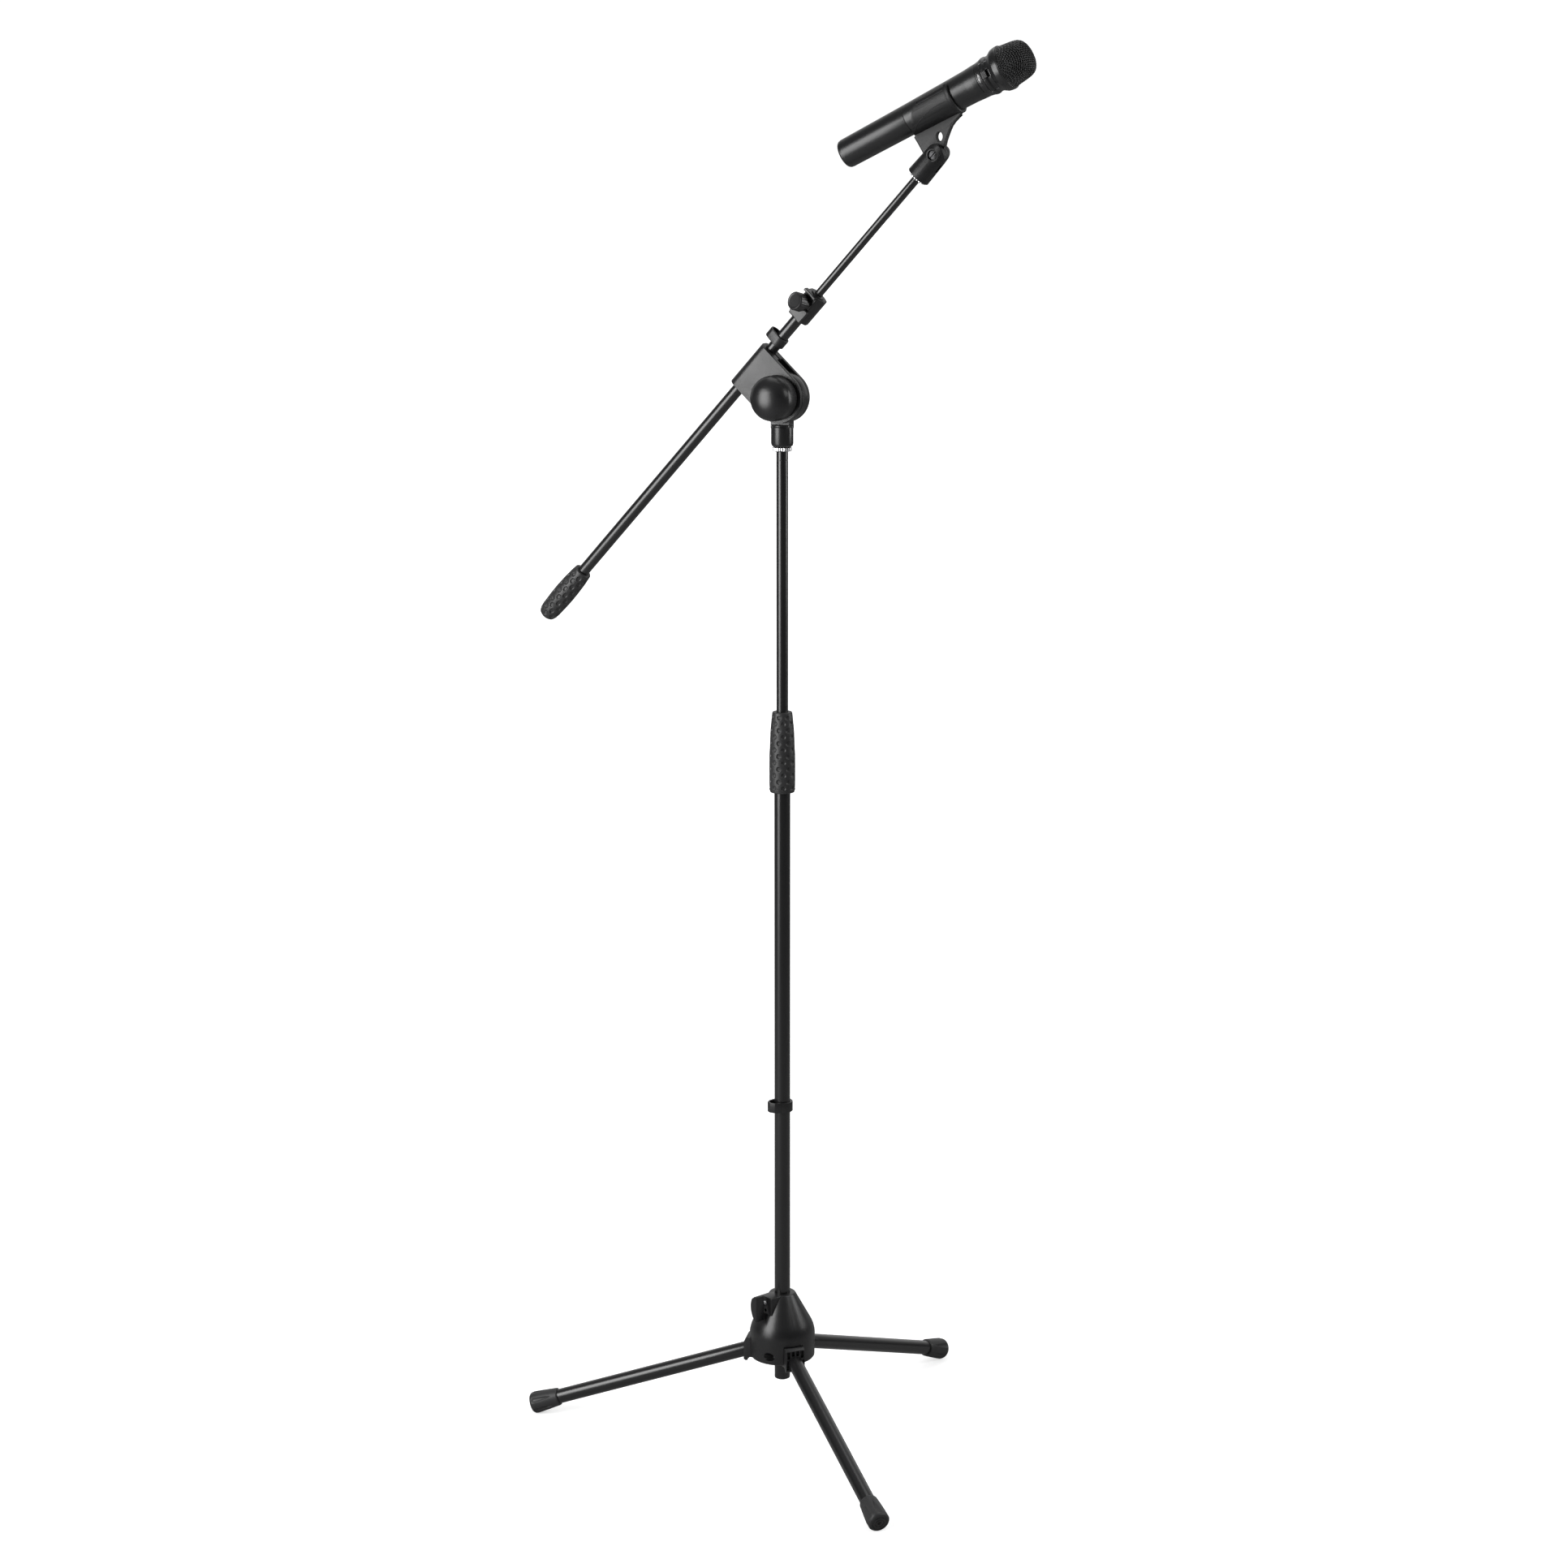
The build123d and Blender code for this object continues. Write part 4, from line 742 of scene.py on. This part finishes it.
sect = [(11.5, 9.0, 1.5), (-5.8, 9.0, 2.5), (-12.5, 0.0, 5.0), (-11.5, -9.0, 4.0), (-4.0, -12.0, 4.0), (8.0, -11.0, 4.0),
        (12.0, -4.0, 5.0)]
block = prism("lock_block_casting", rounded(sect, True, 6), 80.0, 117.0, BOOM, MAT["die_cast_black"], 1.3, 4)
near_pad = [(81.3, -8.3, 1.0), (97.6, -8.8, 1.5), (97.0, 4.0, 1.0), (97.0, 11.0, 1.0), (89.8, 11.4, 3.0), (83.7, 10.3, 1.5)]
tool = prism("tool", rounded(near_pad, True, 5), 6.5, 13.2, BOOM_SIDE, MAT["die_cast_black"], 0.7, 4)
boolean(block, tool, "UNION")
tool = box_piece("tool", 114.0, 117.2, -5.0, 12.8, 7.0, 14.6, BOOM_SIDE, MAT["die_cast_black"], 0.6, 4)
boolean(block, tool, "UNION")
tool = lathe("tool", [(3.0, 0), (3.0, 7.4), (14.9, 7.4, 0.5), (14.9, 0)], LOCK, seg=64)
boolean(block, tool, "UNION")
tool = lathe("tool", [(14.7, 0), (14.7, 11.8), (32.0, 11.8), (32.0, 0)], LOCK, seg=72)
boolean(block, tool)
tool = lathe("tool", [(78.0, 0), (78.0, 7.02), (110.2, 7.02), (110.2, 5.2), (121.0, 5.2), (121.0, 0)], BOOM, seg=64)
boolean(block, tool)
tool = lathe("tool", [(4.0, 0), (4.0, 3.2), (22.0, 3.2), (22.0, 0)], LOCK, seg=40)
boolean(block, tool)
smooth_angle(block, 38)
place(block, "boom", "die_cast_black", "boom_lock_block")
front_ring = lathe("lock_block_front_ring", [(116.8, 4.82), (116.8, 8.6, 0.3), (118.4, 8.2, 0.4), (118.4, 4.82, 0.3)], BOOM, seg=64,
                   closed=True, mat=MAT["die_cast_black"])
place(front_ring, "boom", "die_cast_black")


def lock_relief(th, z, r):
    if r > 9.9 and 16.0 < z < 26.6:
        t = (th * 28 / (2 * pi)) % 1.0
        return r - 0.22 * (0.5 - 0.5 * cos(2 * pi * t)) * smoothstep(16.0, 17.0, z) * (1 - smoothstep(25.4, 26.6, z))
    return r


lk = lathe("boom_lock_grip", [(15.2, 3.0), (15.2, 9.2, 0.5), (16.2, 10.8, 0.5), (25.8, 10.8, 0.9), (27.0, 9.5, 0.7), (26.6, 7.4, 0.8),
                              (26.5, 0)], LOCK, seg=192, mat=MAT["knob_plastic"], rfun=lock_relief, refine=0.8)
place(lk, "boom_lock", "knob_plastic", "boom_lock_knob")
ls = [(5.1, 0), (5.1, 2.3)]
z = 5.2
while z < 20.6:
    ls += [(z, 2.5), (z + 0.4, 2.93), (z + 0.6, 2.93)]
    z += 1.0
ls += [(21.5, 2.5), (21.5, 0)]
lscrew = lathe("boom_lock_thread", ls, LOCK, seg=36, mat=MAT["chrome_steel"])
place(lscrew, "boom_lock", "chrome_steel", "boom_lock_screw")

# ------------------------------------------------------------------ clip base
cb = softened("clip_base", 0.5, segs=3, angle=28, name="clip_base_moulding", dissolve=0.6, sharp=42)
cb.data.materials.append(MAT["mic_clip_plastic"])
place(cb, "clip_base", "mic_clip_plastic", "clip_base")
eye = lathe("clip_base_eye", [(10.6, 5.7, 0.3), (12.35, 5.7, 0.35), (12.5, 6.0, 0.3), (12.3, 7.4, 0.6), (11.2, 8.2, 0.5),
                              (10.6, 8.2, 0.2)], CLIPB, seg=96, closed=True, mat=MAT["mic_clip_plastic"])
place(eye, "clip_base", "mic_clip_plastic")
rib = box_piece("clip_base_rib", -27.5, -19.0, 2.4, 3.8, 11.0, 13.35, CLIPB, MAT["mic_clip_plastic"], 0.35, 3)
smooth_angle(rib, 40)
place(rib, "clip_base", "mic_clip_plastic")


def flange_relief(th, z, r):
    if r > 11.0:
        t = (th * 22 / (2 * pi)) % 1.0
        return r - 1.25 * max(0.0, 1 - abs(2 * t - 1) * 1.5) - 0.25 * sin(7 * th) ** 2
    return r


fl = lathe("clip_insert_flange", [(298.0, 4.85), (298.0, 11.4, 0.3), (298.5, 12.4, 0.3), (299.9, 12.4, 0.3), (300.0, 11.0), (300.0, 7.9),
                                  (314.6, 7.85, 0.3), (314.6, 4.85)],
           BOOM, seg=220, closed=True, rfun=flange_relief, mat=MAT["chrome_steel"], refine=0.6)
place(fl, "clip_base", "chrome_steel", "clip_thread_insert")

scr = softened("clip_screw", 0.22, segs=2, angle=30, name="clip_screw_slotted", dissolve=0.5)
scr.data.materials.append(MAT["screw_dark"])
place(scr, "clip_base", "chrome_steel", "clip_screw")

# ------------------------------------------------------------------ clip cradle
cr = softened("clip_cradle", 0.4, segs=2, angle=32, name="cradle_moulding", dissolve=0.4, sharp=40)
front_cut = [(14.2, 0.0), (14.0, 4.0), (17.6, 8.6), (21.9, 12.8), (26.4, 16.9), (30.7, 20.4), (36.3, 23.2), (41.4, 24.7),
             (46.8, 25.7), (50.0, 27.8), (60.0, 27.8), (60.0, 0.0)]
tool = prism("tool", front_cut, -9.0, 9.0, CLIP)
boolean(cr, tool)
hole = []
for j in range(40):
    a, b = 4.3 * cos(2 * pi * j / 40), 5.7 * sin(2 * pi * j / 40)
    hole.append((13.0 + 0.908 * a + 0.419 * b, 16.2 - 0.419 * a + 0.908 * b))
tool = prism("tool", hole, -9.0, 9.0, CLIP)
boolean(cr, tool)
smooth_angle(cr, 38)
cr.data.materials.append(MAT["mic_clip_plastic"])
place(cr, "clip_cradle", "mic_clip_plastic", "clip_cradle")


def body_r(q):
    pts = [(-102.0, 16.5), (-12.0, 17.3), (52.0, 18.4), (70.0, 18.85), (78.0, 19.45), (85.0, 19.75)]
    for (q0, r0), (q1, r1) in zip(pts, pts[1:]):
        if q <= q1:
            return r0 + (r1 - r0) * (q - q0) / (q1 - q0)
    return pts[-1][1]


def on_shell(q, deg, lift=0.0):
    r = body_r(q) + 0.35 + 2.1 + lift
    a = radians(deg)
    return (r * cos(a), r * sin(a), q)


def spline(points, n=12):
    """Catmull-Rom through the points."""
    P = [Vector(p) for p in points]
    out = []
    for i in range(len(P) - 1):
        p0 = P[max(i - 1, 0)]
        p1, p2 = P[i], P[i + 1]
        p3 = P[min(i + 2, len(P) - 1)]
        for j in range(n):
            t = j / n
            out.append(0.5 * ((2 * p1) + (p2 - p0) * t + (2 * p0 - 5 * p1 + 4 * p2 - p3) * t * t
                              + (3 * p1 - p0 - 3 * p2 + p3) * t ** 3))
    out.append(P[-1])
    return out


for sgn, tag in ((1, "near"), (-1, "far")):
    line = spline([(-13.2, 157, 0), (-8, 146, 0), (0, 127, 0), (9, 115, 0), (18, 107.6, 0), (33, 103.3, 0), (47.5, 105.7, 0)], 12)
    pts = [on_shell(p.x, sgn * p.y, -0.12) for p in line]
    ob = tube_path("cradle_panel_line_" + tag, pts, 0.42, MIC, 8, MAT["mic_clip_plastic"])
    place(ob, "clip_cradle", "mic_clip_plastic")
    loop = []
    q0, q1, t0, t1 = 10.5, 44.0, 58.0, 69.5
    for j in range(30):
        loop.append((q0 + (q1 - q0) * j / 29, t0))
    for j in range(1, 8):
        a = pi * j / 8
        loop.append((q1 + 1.6 * sin(a), (t0 + t1) / 2 - (t1 - t0) / 2 * cos(a)))
    for j in range(30):
        loop.append((q1 + (q0 - q1) * j / 29, t1))
    for j in range(1, 8):
        a = pi * j / 8
        loop.append((q0 - 1.6 * sin(a), (t0 + t1) / 2 + (t1 - t0) / 2 * cos(a)))
    pts = [on_shell(q, sgn * t, 0.18) for q, t in loop]
    ob = tube_path("cradle_grip_loop_" + tag, pts, 0.72, MIC, 10, MAT["mic_clip_plastic"], closed=True)
    place(ob, "clip_cradle", "mic_clip_plastic")
    zz = sgn * 3.15
    rim = spline([(13.4, 4.4, zz), (17.0, 9.0, zz), (21.4, 13.3, zz), (25.9, 17.4, zz), (30.2, 20.9, zz), (35.9, 23.8, zz),
                  (41.0, 25.3, zz), (46.0, 26.6, zz)], 8)
    ring_pts = [(13.0 + 0.908 * 4.3 * cos(2 * pi * j / 36) + 0.419 * 5.7 * sin(2 * pi * j / 36),
                 16.2 - 0.419 * 4.3 * cos(2 * pi * j / 36) + 0.908 * 5.7 * sin(2 * pi * j / 36), zz) for j in range(36)]
    ob = tube_path("cradle_hole_rim_" + tag, ring_pts, 0.45, CLIP, 8, MAT["mic_clip_plastic"], closed=True)
    place(ob, "clip_cradle", "mic_clip_plastic")
    ob = tube_path("cradle_web_rim_front_" + tag, rim, 0.55, CLIP, 8, MAT["mic_clip_plastic"])
    place(ob, "clip_cradle", "mic_clip_plastic")
    rim = spline([(-12.2, 8.8, zz), (-12.9, 16.0, zz), (-13.8, 24.0, zz), (-14.6, 28.8, zz)], 8)
    ob = tube_path("cradle_web_rim_rear_" + tag, rim, 0.55, CLIP, 8, MAT["mic_clip_plastic"])
    place(ob, "clip_cradle", "mic_clip_plastic")

# ------------------------------------------------------------------ microphone
rc = lathe("mic_cover_shell", [(-12.0, 15.6), (-12.0, 17.3, 0.3), (-40, 17.05), (-70, 16.8), (-97.0, 16.55, 2), (-99.8, 16.1, 1.5),
                               (-101.3, 15.1, 1), (-102, 13.4, 0.7), (-102, 12.0, 0.3), (-101.2, 11.4, 0.3), (-101.2, 0)],
           MIC, seg=160, mat=MAT["mic_paint"], steps=6)
place(rc, "mic", "mic_paint", "mic_rear_cover")
mb = lathe("mic_body_shell", [(-11.9, 15.6), (-11.9, 17.3, 0.3), (20, 17.85), (52, 18.4, 3), (70, 18.85, 8), (78, 19.45, 6),
                              (84.85, 19.74, 0.3), (84.85, 17.0), (60, 16.6)],
           MIC, seg=160, closed=True, mat=MAT["mic_paint"], steps=6)
place(mb, "mic", "mic_paint", "mic_body")


def collar_relief(th, z, r):
    if r < 18.5:
        return r
    a = degrees(th) % 360.0
    # a panel round the switch, with a groove round its border
    d = 0.0
    if 92.0 < z < 104.0 and 48.0 < a < 150.0:
        ez = min(z - 92.0, 104.0 - z)
        ea = min(a - 48.0, 150.0 - a) * pi / 180.0 * r
        e = min(ez, ea)
        if e < 0.9:
            d = 0.5
        else:
            d = 0.12
    return r - d


co = lathe("mic_collar_shell",
           [(85.15, 17.0), (85.15, 19.78, 0.3), (88, 20.2), (90.6, 20.75, 1), (93.2, 21.65, 1.5), (94.4, 21.9, 0.8), (96.6, 21.9, 1),
            (98.8, 21.0, 1.6), (102, 21.2, 2), (105, 22.9, 3), (108, 24.7, 3), (111, 25.3, 3), (114, 25.6, 1), (116.4, 25.45, 0.5),
            (116.6, 24.0, 0.3), (116.6, 17.0)],
           MIC, seg=288, closed=True, mat=MAT["mic_collar_plastic"], steps=5, refine=0.4, rfun=collar_relief)
tool = box_piece("tool", 92.6, 103.0, -4.5, 4.5, 18.3, 30, MIC_SIDE, None, 0.5, 3)
boolean(co, tool)
smooth_angle(co, 40)
place(co, "mic", "mic_collar_plastic", "mic_collar")

sw = softened("mic_switch", 0.25, segs=2, angle=30, name="mic_switch_button", dissolve=0.5)
sw.data.materials.append(MAT["switch_plastic"])
place(sw, "mic_switch", "switch_plastic", "mic_switch")
for k, q in enumerate((94.4, 95.7, 97.0)):
    bar = box_piece("mic_switch_rib_%d" % k, q, q + 0.6, -3.3, 3.3, 22.25, 22.8, MIC_SIDE, MAT["switch_plastic"], 0.15, 2)
    place(bar, "mic_switch", "switch_plastic")


def arc_band(name, q0, q1, r0, r1, a0, a1, mat, mtx=MIC, n=28, thick=0.5):
    """A slightly raised band segment round the axis, closed on all sides."""
    verts, faces = [], []
    for i in range(n + 1):
        a = radians(a0 + (a1 - a0) * i / n)
        for q, r in ((q0, r0), (q1, r1), (q1, r1 - thick), (q0, r0 - thick)):
            verts.append((r * cos(a), r * sin(a), q))
    for i in range(n):
        for j in range(4):
            k = (j + 1) % 4
            faces.append((i * 4 + j, i * 4 + k, i * 4 + 4 + k, i * 4 + 4 + j))
    faces.append((0, 1, 2, 3))
    faces.append((n * 4 + 3, n * 4 + 2, n * 4 + 1, n * 4))
    ob = make(name, verts, faces, mtx, mat)
    bevel_mod(ob, 0.12, 2, 35)
    smooth_angle(ob, 40)
    return ob


for k, (a0, a1) in enumerate(((76, 89), (91, 118))):
    ob = arc_band("mic_window_%d" % k, 86.3, 90.2, 20.12, 20.78, a0, a1, MAT["window_gloss"])
    place(ob, "mic", "mic_collar_plastic")

# woven grille: square mesh drawn over the dome
GP = [(147.0, 0.0), (146.75, 6.0), (146.5, 9.5), (145.5, 14.4), (143.2, 18.1), (139.8, 20.45), (136.0, 21.6), (132.0, 22.3), (128.0, 22.8),
      (124.0, 23.2), (120.0, 23.7), (116.8, 24.15)]
arc = [0.0]
for (a, b), (c, e) in zip(GP, GP[1:]):
    arc.append(arc[-1] + sqrt((c - a) ** 2 + (e - b) ** 2))
S_MAX = arc[-1]


def gp(s):
    for i in range(len(arc) - 1):
        if s <= arc[i + 1]:
            t = (s - arc[i]) / (arc[i + 1] - arc[i])
            return (GP[i][0] + (GP[i + 1][0] - GP[i][0]) * t, GP[i][1] + (GP[i + 1][1] - GP[i][1]) * t)
    return GP[-1]


PITCH, WIRE = 2.55, 0.42


def flat_to_dome(a, b, off):
    rho = sqrt(a * a + b * b)
    q, r = gp(min(rho, S_MAX))
    q2, r2 = gp(min(rho + 0.5, S_MAX))
    q1, r1 = gp(max(min(rho, S_MAX) - 0.5, 0))
    tq, tr = q2 - q1, r2 - r1
    l = sqrt(tq * tq + tr * tr) or 1.0
    nq, nr = tr / l, -tq / l
    r += nr * off
    q += nq * off
    th = atan2(b, a)
    return (r * cos(th), r * sin(th), q)


gverts, gfaces = [], []


def add_wire(points, sides=6, rad=WIRE):
    base = len(gverts)
    P = [Vector(p) for p in points]
    ref = None
    n = len(P)
    for i, p in enumerate(P):
        t = (P[min(i + 1, n - 1)] - P[max(i - 1, 0)]).normalized()
        if ref is None:
            ref = t.orthogonal().normalized()
        a = (ref - t * ref.dot(t)).normalized()
        ref = a
        b = t.cross(a)
        for j in range(sides):
            th = 2 * pi * j / sides
            gverts.append(p + (a * cos(th) + b * sin(th)) * rad)
    for i in range(n - 1):
        for j in range(sides):
            l = (j + 1) % sides
            gfaces.append((base + i * sides + j, base + i * sides + l, base + (i + 1) * sides + l, base + (i + 1) * sides + j))
    gfaces.append(tuple(base + j for j in range(sides))[::-1])
    gfaces.append(tuple(base + (n - 1) * sides + j for j in range(sides)))


K = int(S_MAX / PITCH)
for fam in (0, 1):
    for i in range(-K, K + 1):
        c = i * PITCH
        half = sqrt(max(S_MAX ** 2 - c * c, 0.0))
        if half < 1.5:
            continue
        n = max(6, int(2 * half / 0.85))
        pts = []
        for k in range(n + 1):
            s = -half + 2 * half * k / n
            phase = s / PITCH * pi
            off = -0.42 + 0.2 * cos(phase) * (1 if (i % 2 == 0) else -1) * (1 if fam == 0 else -1)
            a, b = (c, s) if fam == 0 else (s, c)
            pts.append(flat_to_dome(a, b, off))
        add_wire(pts)
gr = make("mic_grille_mesh", gverts, gfaces, MIC, MAT["grille_wire"])
place(gr, "mic", "grille_wire", "mic_grille")
gband = lathe("mic_grille_band", [(116.4, 22.6), (116.4, 24.45, 0.2), (117.4, 24.4, 0.3), (117.6, 22.6)], MIC, seg=128, closed=True,
              mat=MAT["grille_wire"])
place(gband, "mic", "grille_wire")
fo = lathe("mic_foam_liner", [(116.6, 20.0), (116.6, 22.3, 0.5), (128, 21.3, 2), (135.2, 20.1, 3), (138.6, 19.0, 3), (141.6, 16.9, 3),
                              (143.7, 13.5, 3), (144.6, 9.5, 3), (144.9, 0), (142.9, 0), (142.7, 9.2), (140.6, 12.8), (137.0, 15.6),
                              (130.0, 17.8), (120.0, 19.4)],
           MIC, seg=96, mat=MAT["foam"], refine=1.2)
place(fo, "mic", "foam", "mic_foam")

# ------------------------------------------------------------------ stage
fm = bpy.data.materials.new("floor_paper")
fm.use_nodes = True
fn = fm.node_tree.nodes
fn.clear()
fl_ = fm.node_tree.links
fo_ = fn.new("ShaderNodeOutputMaterial")
fa = fn.new("ShaderNodeAddShader")
fd = fn.new("ShaderNodeBsdfDiffuse")
fe = fn.new("ShaderNodeEmission")
fd.inputs["Color"].default_value = (0.80, 0.80, 0.80, 1)
fe.inputs["Color"].default_value = (1, 1, 1, 1)
tcf = fn.new("ShaderNodeTexCoord")
ln = fn.new("ShaderNodeVectorMath")
ln.operation = "LENGTH"
fl_.new(tcf.outputs["Object"], ln.inputs[0])
mr = fn.new("ShaderNodeMapRange")
for k_, v_ in zip(("From Min", "From Max", "To Min", "To Max"), (0.55, 1.6, 0.62, 1.2)):
    mr.inputs[k_].default_value = v_
fl_.new(ln.outputs["Value"], mr.inputs["Value"])
fl_.new(mr.outputs["Result"], fe.inputs["Strength"])
fl_.new(fd.outputs[0], fa.inputs[0])
fl_.new(fe.outputs[0], fa.inputs[1])
fd2 = fn.new("ShaderNodeBsdfDiffuse")
fd2.inputs["Color"].default_value = (0.42, 0.42, 0.42, 1)
flp = fn.new("ShaderNodeLightPath")
fmx = fn.new("ShaderNodeMixShader")
fl_.new(flp.outputs["Is Camera Ray"], fmx.inputs["Fac"])
fl_.new(fd2.outputs[0], fmx.inputs[1])
fl_.new(fa.outputs[0], fmx.inputs[2])
fl_.new(fmx.outputs[0], fo_.inputs["Surface"])
rings = []
verts, faces = [(0, 0, 0)], []
SEG = 64
for r in (0.5, 2.0, 8.0, 60.0):
    rings.append([len(verts) + j for j in range(SEG)])
    verts += [(r * cos(2 * pi * j / SEG), r * sin(2 * pi * j / SEG), 0) for j in range(SEG)]
for j in range(SEG):
    faces.append((0, rings[0][j], rings[0][(j + 1) % SEG]))
for a, b in zip(rings, rings[1:]):
    for j in range(SEG):
        k = (j + 1) % SEG
        faces.append((a[j], b[j], b[k], a[k]))
me = bpy.data.meshes.new("floor")
me.from_pydata(verts, [], faces)
floor_ob = bpy.data.objects.new("floor", me)
scene.collection.objects.link(floor_ob)
me.materials.append(fm)

CAM_LOC = Vector((1.62631, -3.33014, 1.566))
CAM_FWD = Vector((-0.4296, 0.8809, -0.1987)).normalized()
cam_data = bpy.data.cameras.new("camera")
cam_data.sensor_width = 36.0
cam_data.lens = 73.16
cam = bpy.data.objects.new("camera", cam_data)
scene.collection.objects.link(cam)
cam.location = CAM_LOC
cam.rotation_mode = "QUATERNION"
cam.rotation_quaternion = CAM_FWD.to_track_quat("-Z", "Y")
cam_data.clip_start, cam_data.clip_end = 0.05, 200.0
scene.camera = cam


def softbox(name, az, dist, z, width, height, radiance, look_z=None, colour=(1, 1, 1)):
    a = radians(az)
    loc = Vector((cos(a) * dist, sin(a) * dist, z))
    target = Vector((0, 0, look_z if look_z is not None else z))
    ld = bpy.data.lights.new(name, "AREA")
    ld.shape = "RECTANGLE"
    ld.size, ld.size_y = width, height
    ld.energy = radiance * pi * width * height
    ld.color = colour
    ob = bpy.data.objects.new(name, ld)
    scene.collection.objects.link(ob)
    ob.location = loc
    ob.rotation_mode = "QUATERNION"
    ob.rotation_quaternion = (target - loc).to_track_quat("-Z", "Y")
    ob.visible_camera = False
    return ob


softbox("key_upper", 241, 2.1, 1.45, 1.2, 1.5, 7.8)
softbox("key_lower", 241, 2.1, 0.44, 1.1, 0.5, 3.8)
softbox("right_high", 353, 2.0, 2.1, 0.9, 0.9, 3.0, look_z=0.5)
softbox("right_rear", 30, 2.2, 1.5, 0.9, 1.4, 4.2)
softbox("top", 100, 0.5, 3.0, 1.6, 1.6, 1.2, look_z=1.0)

world = bpy.data.worlds.new("studio")
scene.world = world
world.use_nodes = True
wn = world.node_tree.nodes
wl = world.node_tree.links
wn.clear()
wo = wn.new("ShaderNodeOutputWorld")
bg_cam = wn.new("ShaderNodeBackground")
bg_env = wn.new("ShaderNodeBackground")
mixw = wn.new("ShaderNodeMixShader")
lp = wn.new("ShaderNodeLightPath")
bg_cam.inputs["Color"].default_value = (1, 1, 1, 1)
bg_cam.inputs["Strength"].default_value = 1.05
wt = wn.new("ShaderNodeTexCoord")
dotb = wn.new("ShaderNodeVectorMath")
dotb.operation = "DOT_PRODUCT"
dotb.inputs[1].default_value = (-0.4384, 0.8988, 0.0)
wl.new(wt.outputs["Generated"], dotb.inputs[0])
r1 = wn.new("ShaderNodeMapRange")
r1.interpolation_type = "SMOOTHSTEP"
for k_, v_ in zip(("From Min", "From Max", "To Min", "To Max"), (0.35, 0.95, 0.035, 0.75)):
    r1.inputs[k_].default_value = v_
wl.new(dotb.outputs["Value"], r1.inputs["Value"])
sepw = wn.new("ShaderNodeSeparateXYZ")
wl.new(wt.outputs["Generated"], sepw.inputs[0])
r2 = wn.new("ShaderNodeMapRange")
r2.interpolation_type = "SMOOTHSTEP"
for k_, v_ in zip(("From Min", "From Max", "To Min", "To Max"), (0.3, 1.0, 0.0, 0.22)):
    r2.inputs[k_].default_value = v_
wl.new(sepw.outputs["Z"], r2.inputs["Value"])
addw = wn.new("ShaderNodeMath")
addw.operation = "ADD"
wl.new(r1.outputs["Result"], addw.inputs[0])
wl.new(r2.outputs["Result"], addw.inputs[1])
wl.new(addw.outputs[0], bg_env.inputs["Strength"])
bg_env.inputs["Color"].default_value = (1, 1, 1, 1)
wl.new(lp.outputs["Is Camera Ray"], mixw.inputs["Fac"])
wl.new(bg_env.outputs[0], mixw.inputs[1])
wl.new(bg_cam.outputs[0], mixw.inputs[2])
wl.new(mixw.outputs[0], wo.inputs["Surface"])

scene.view_settings.view_transform = "Standard"
scene.view_settings.look = "None"
scene.view_settings.exposure = 0.0
scene.view_settings.gamma = 1.0
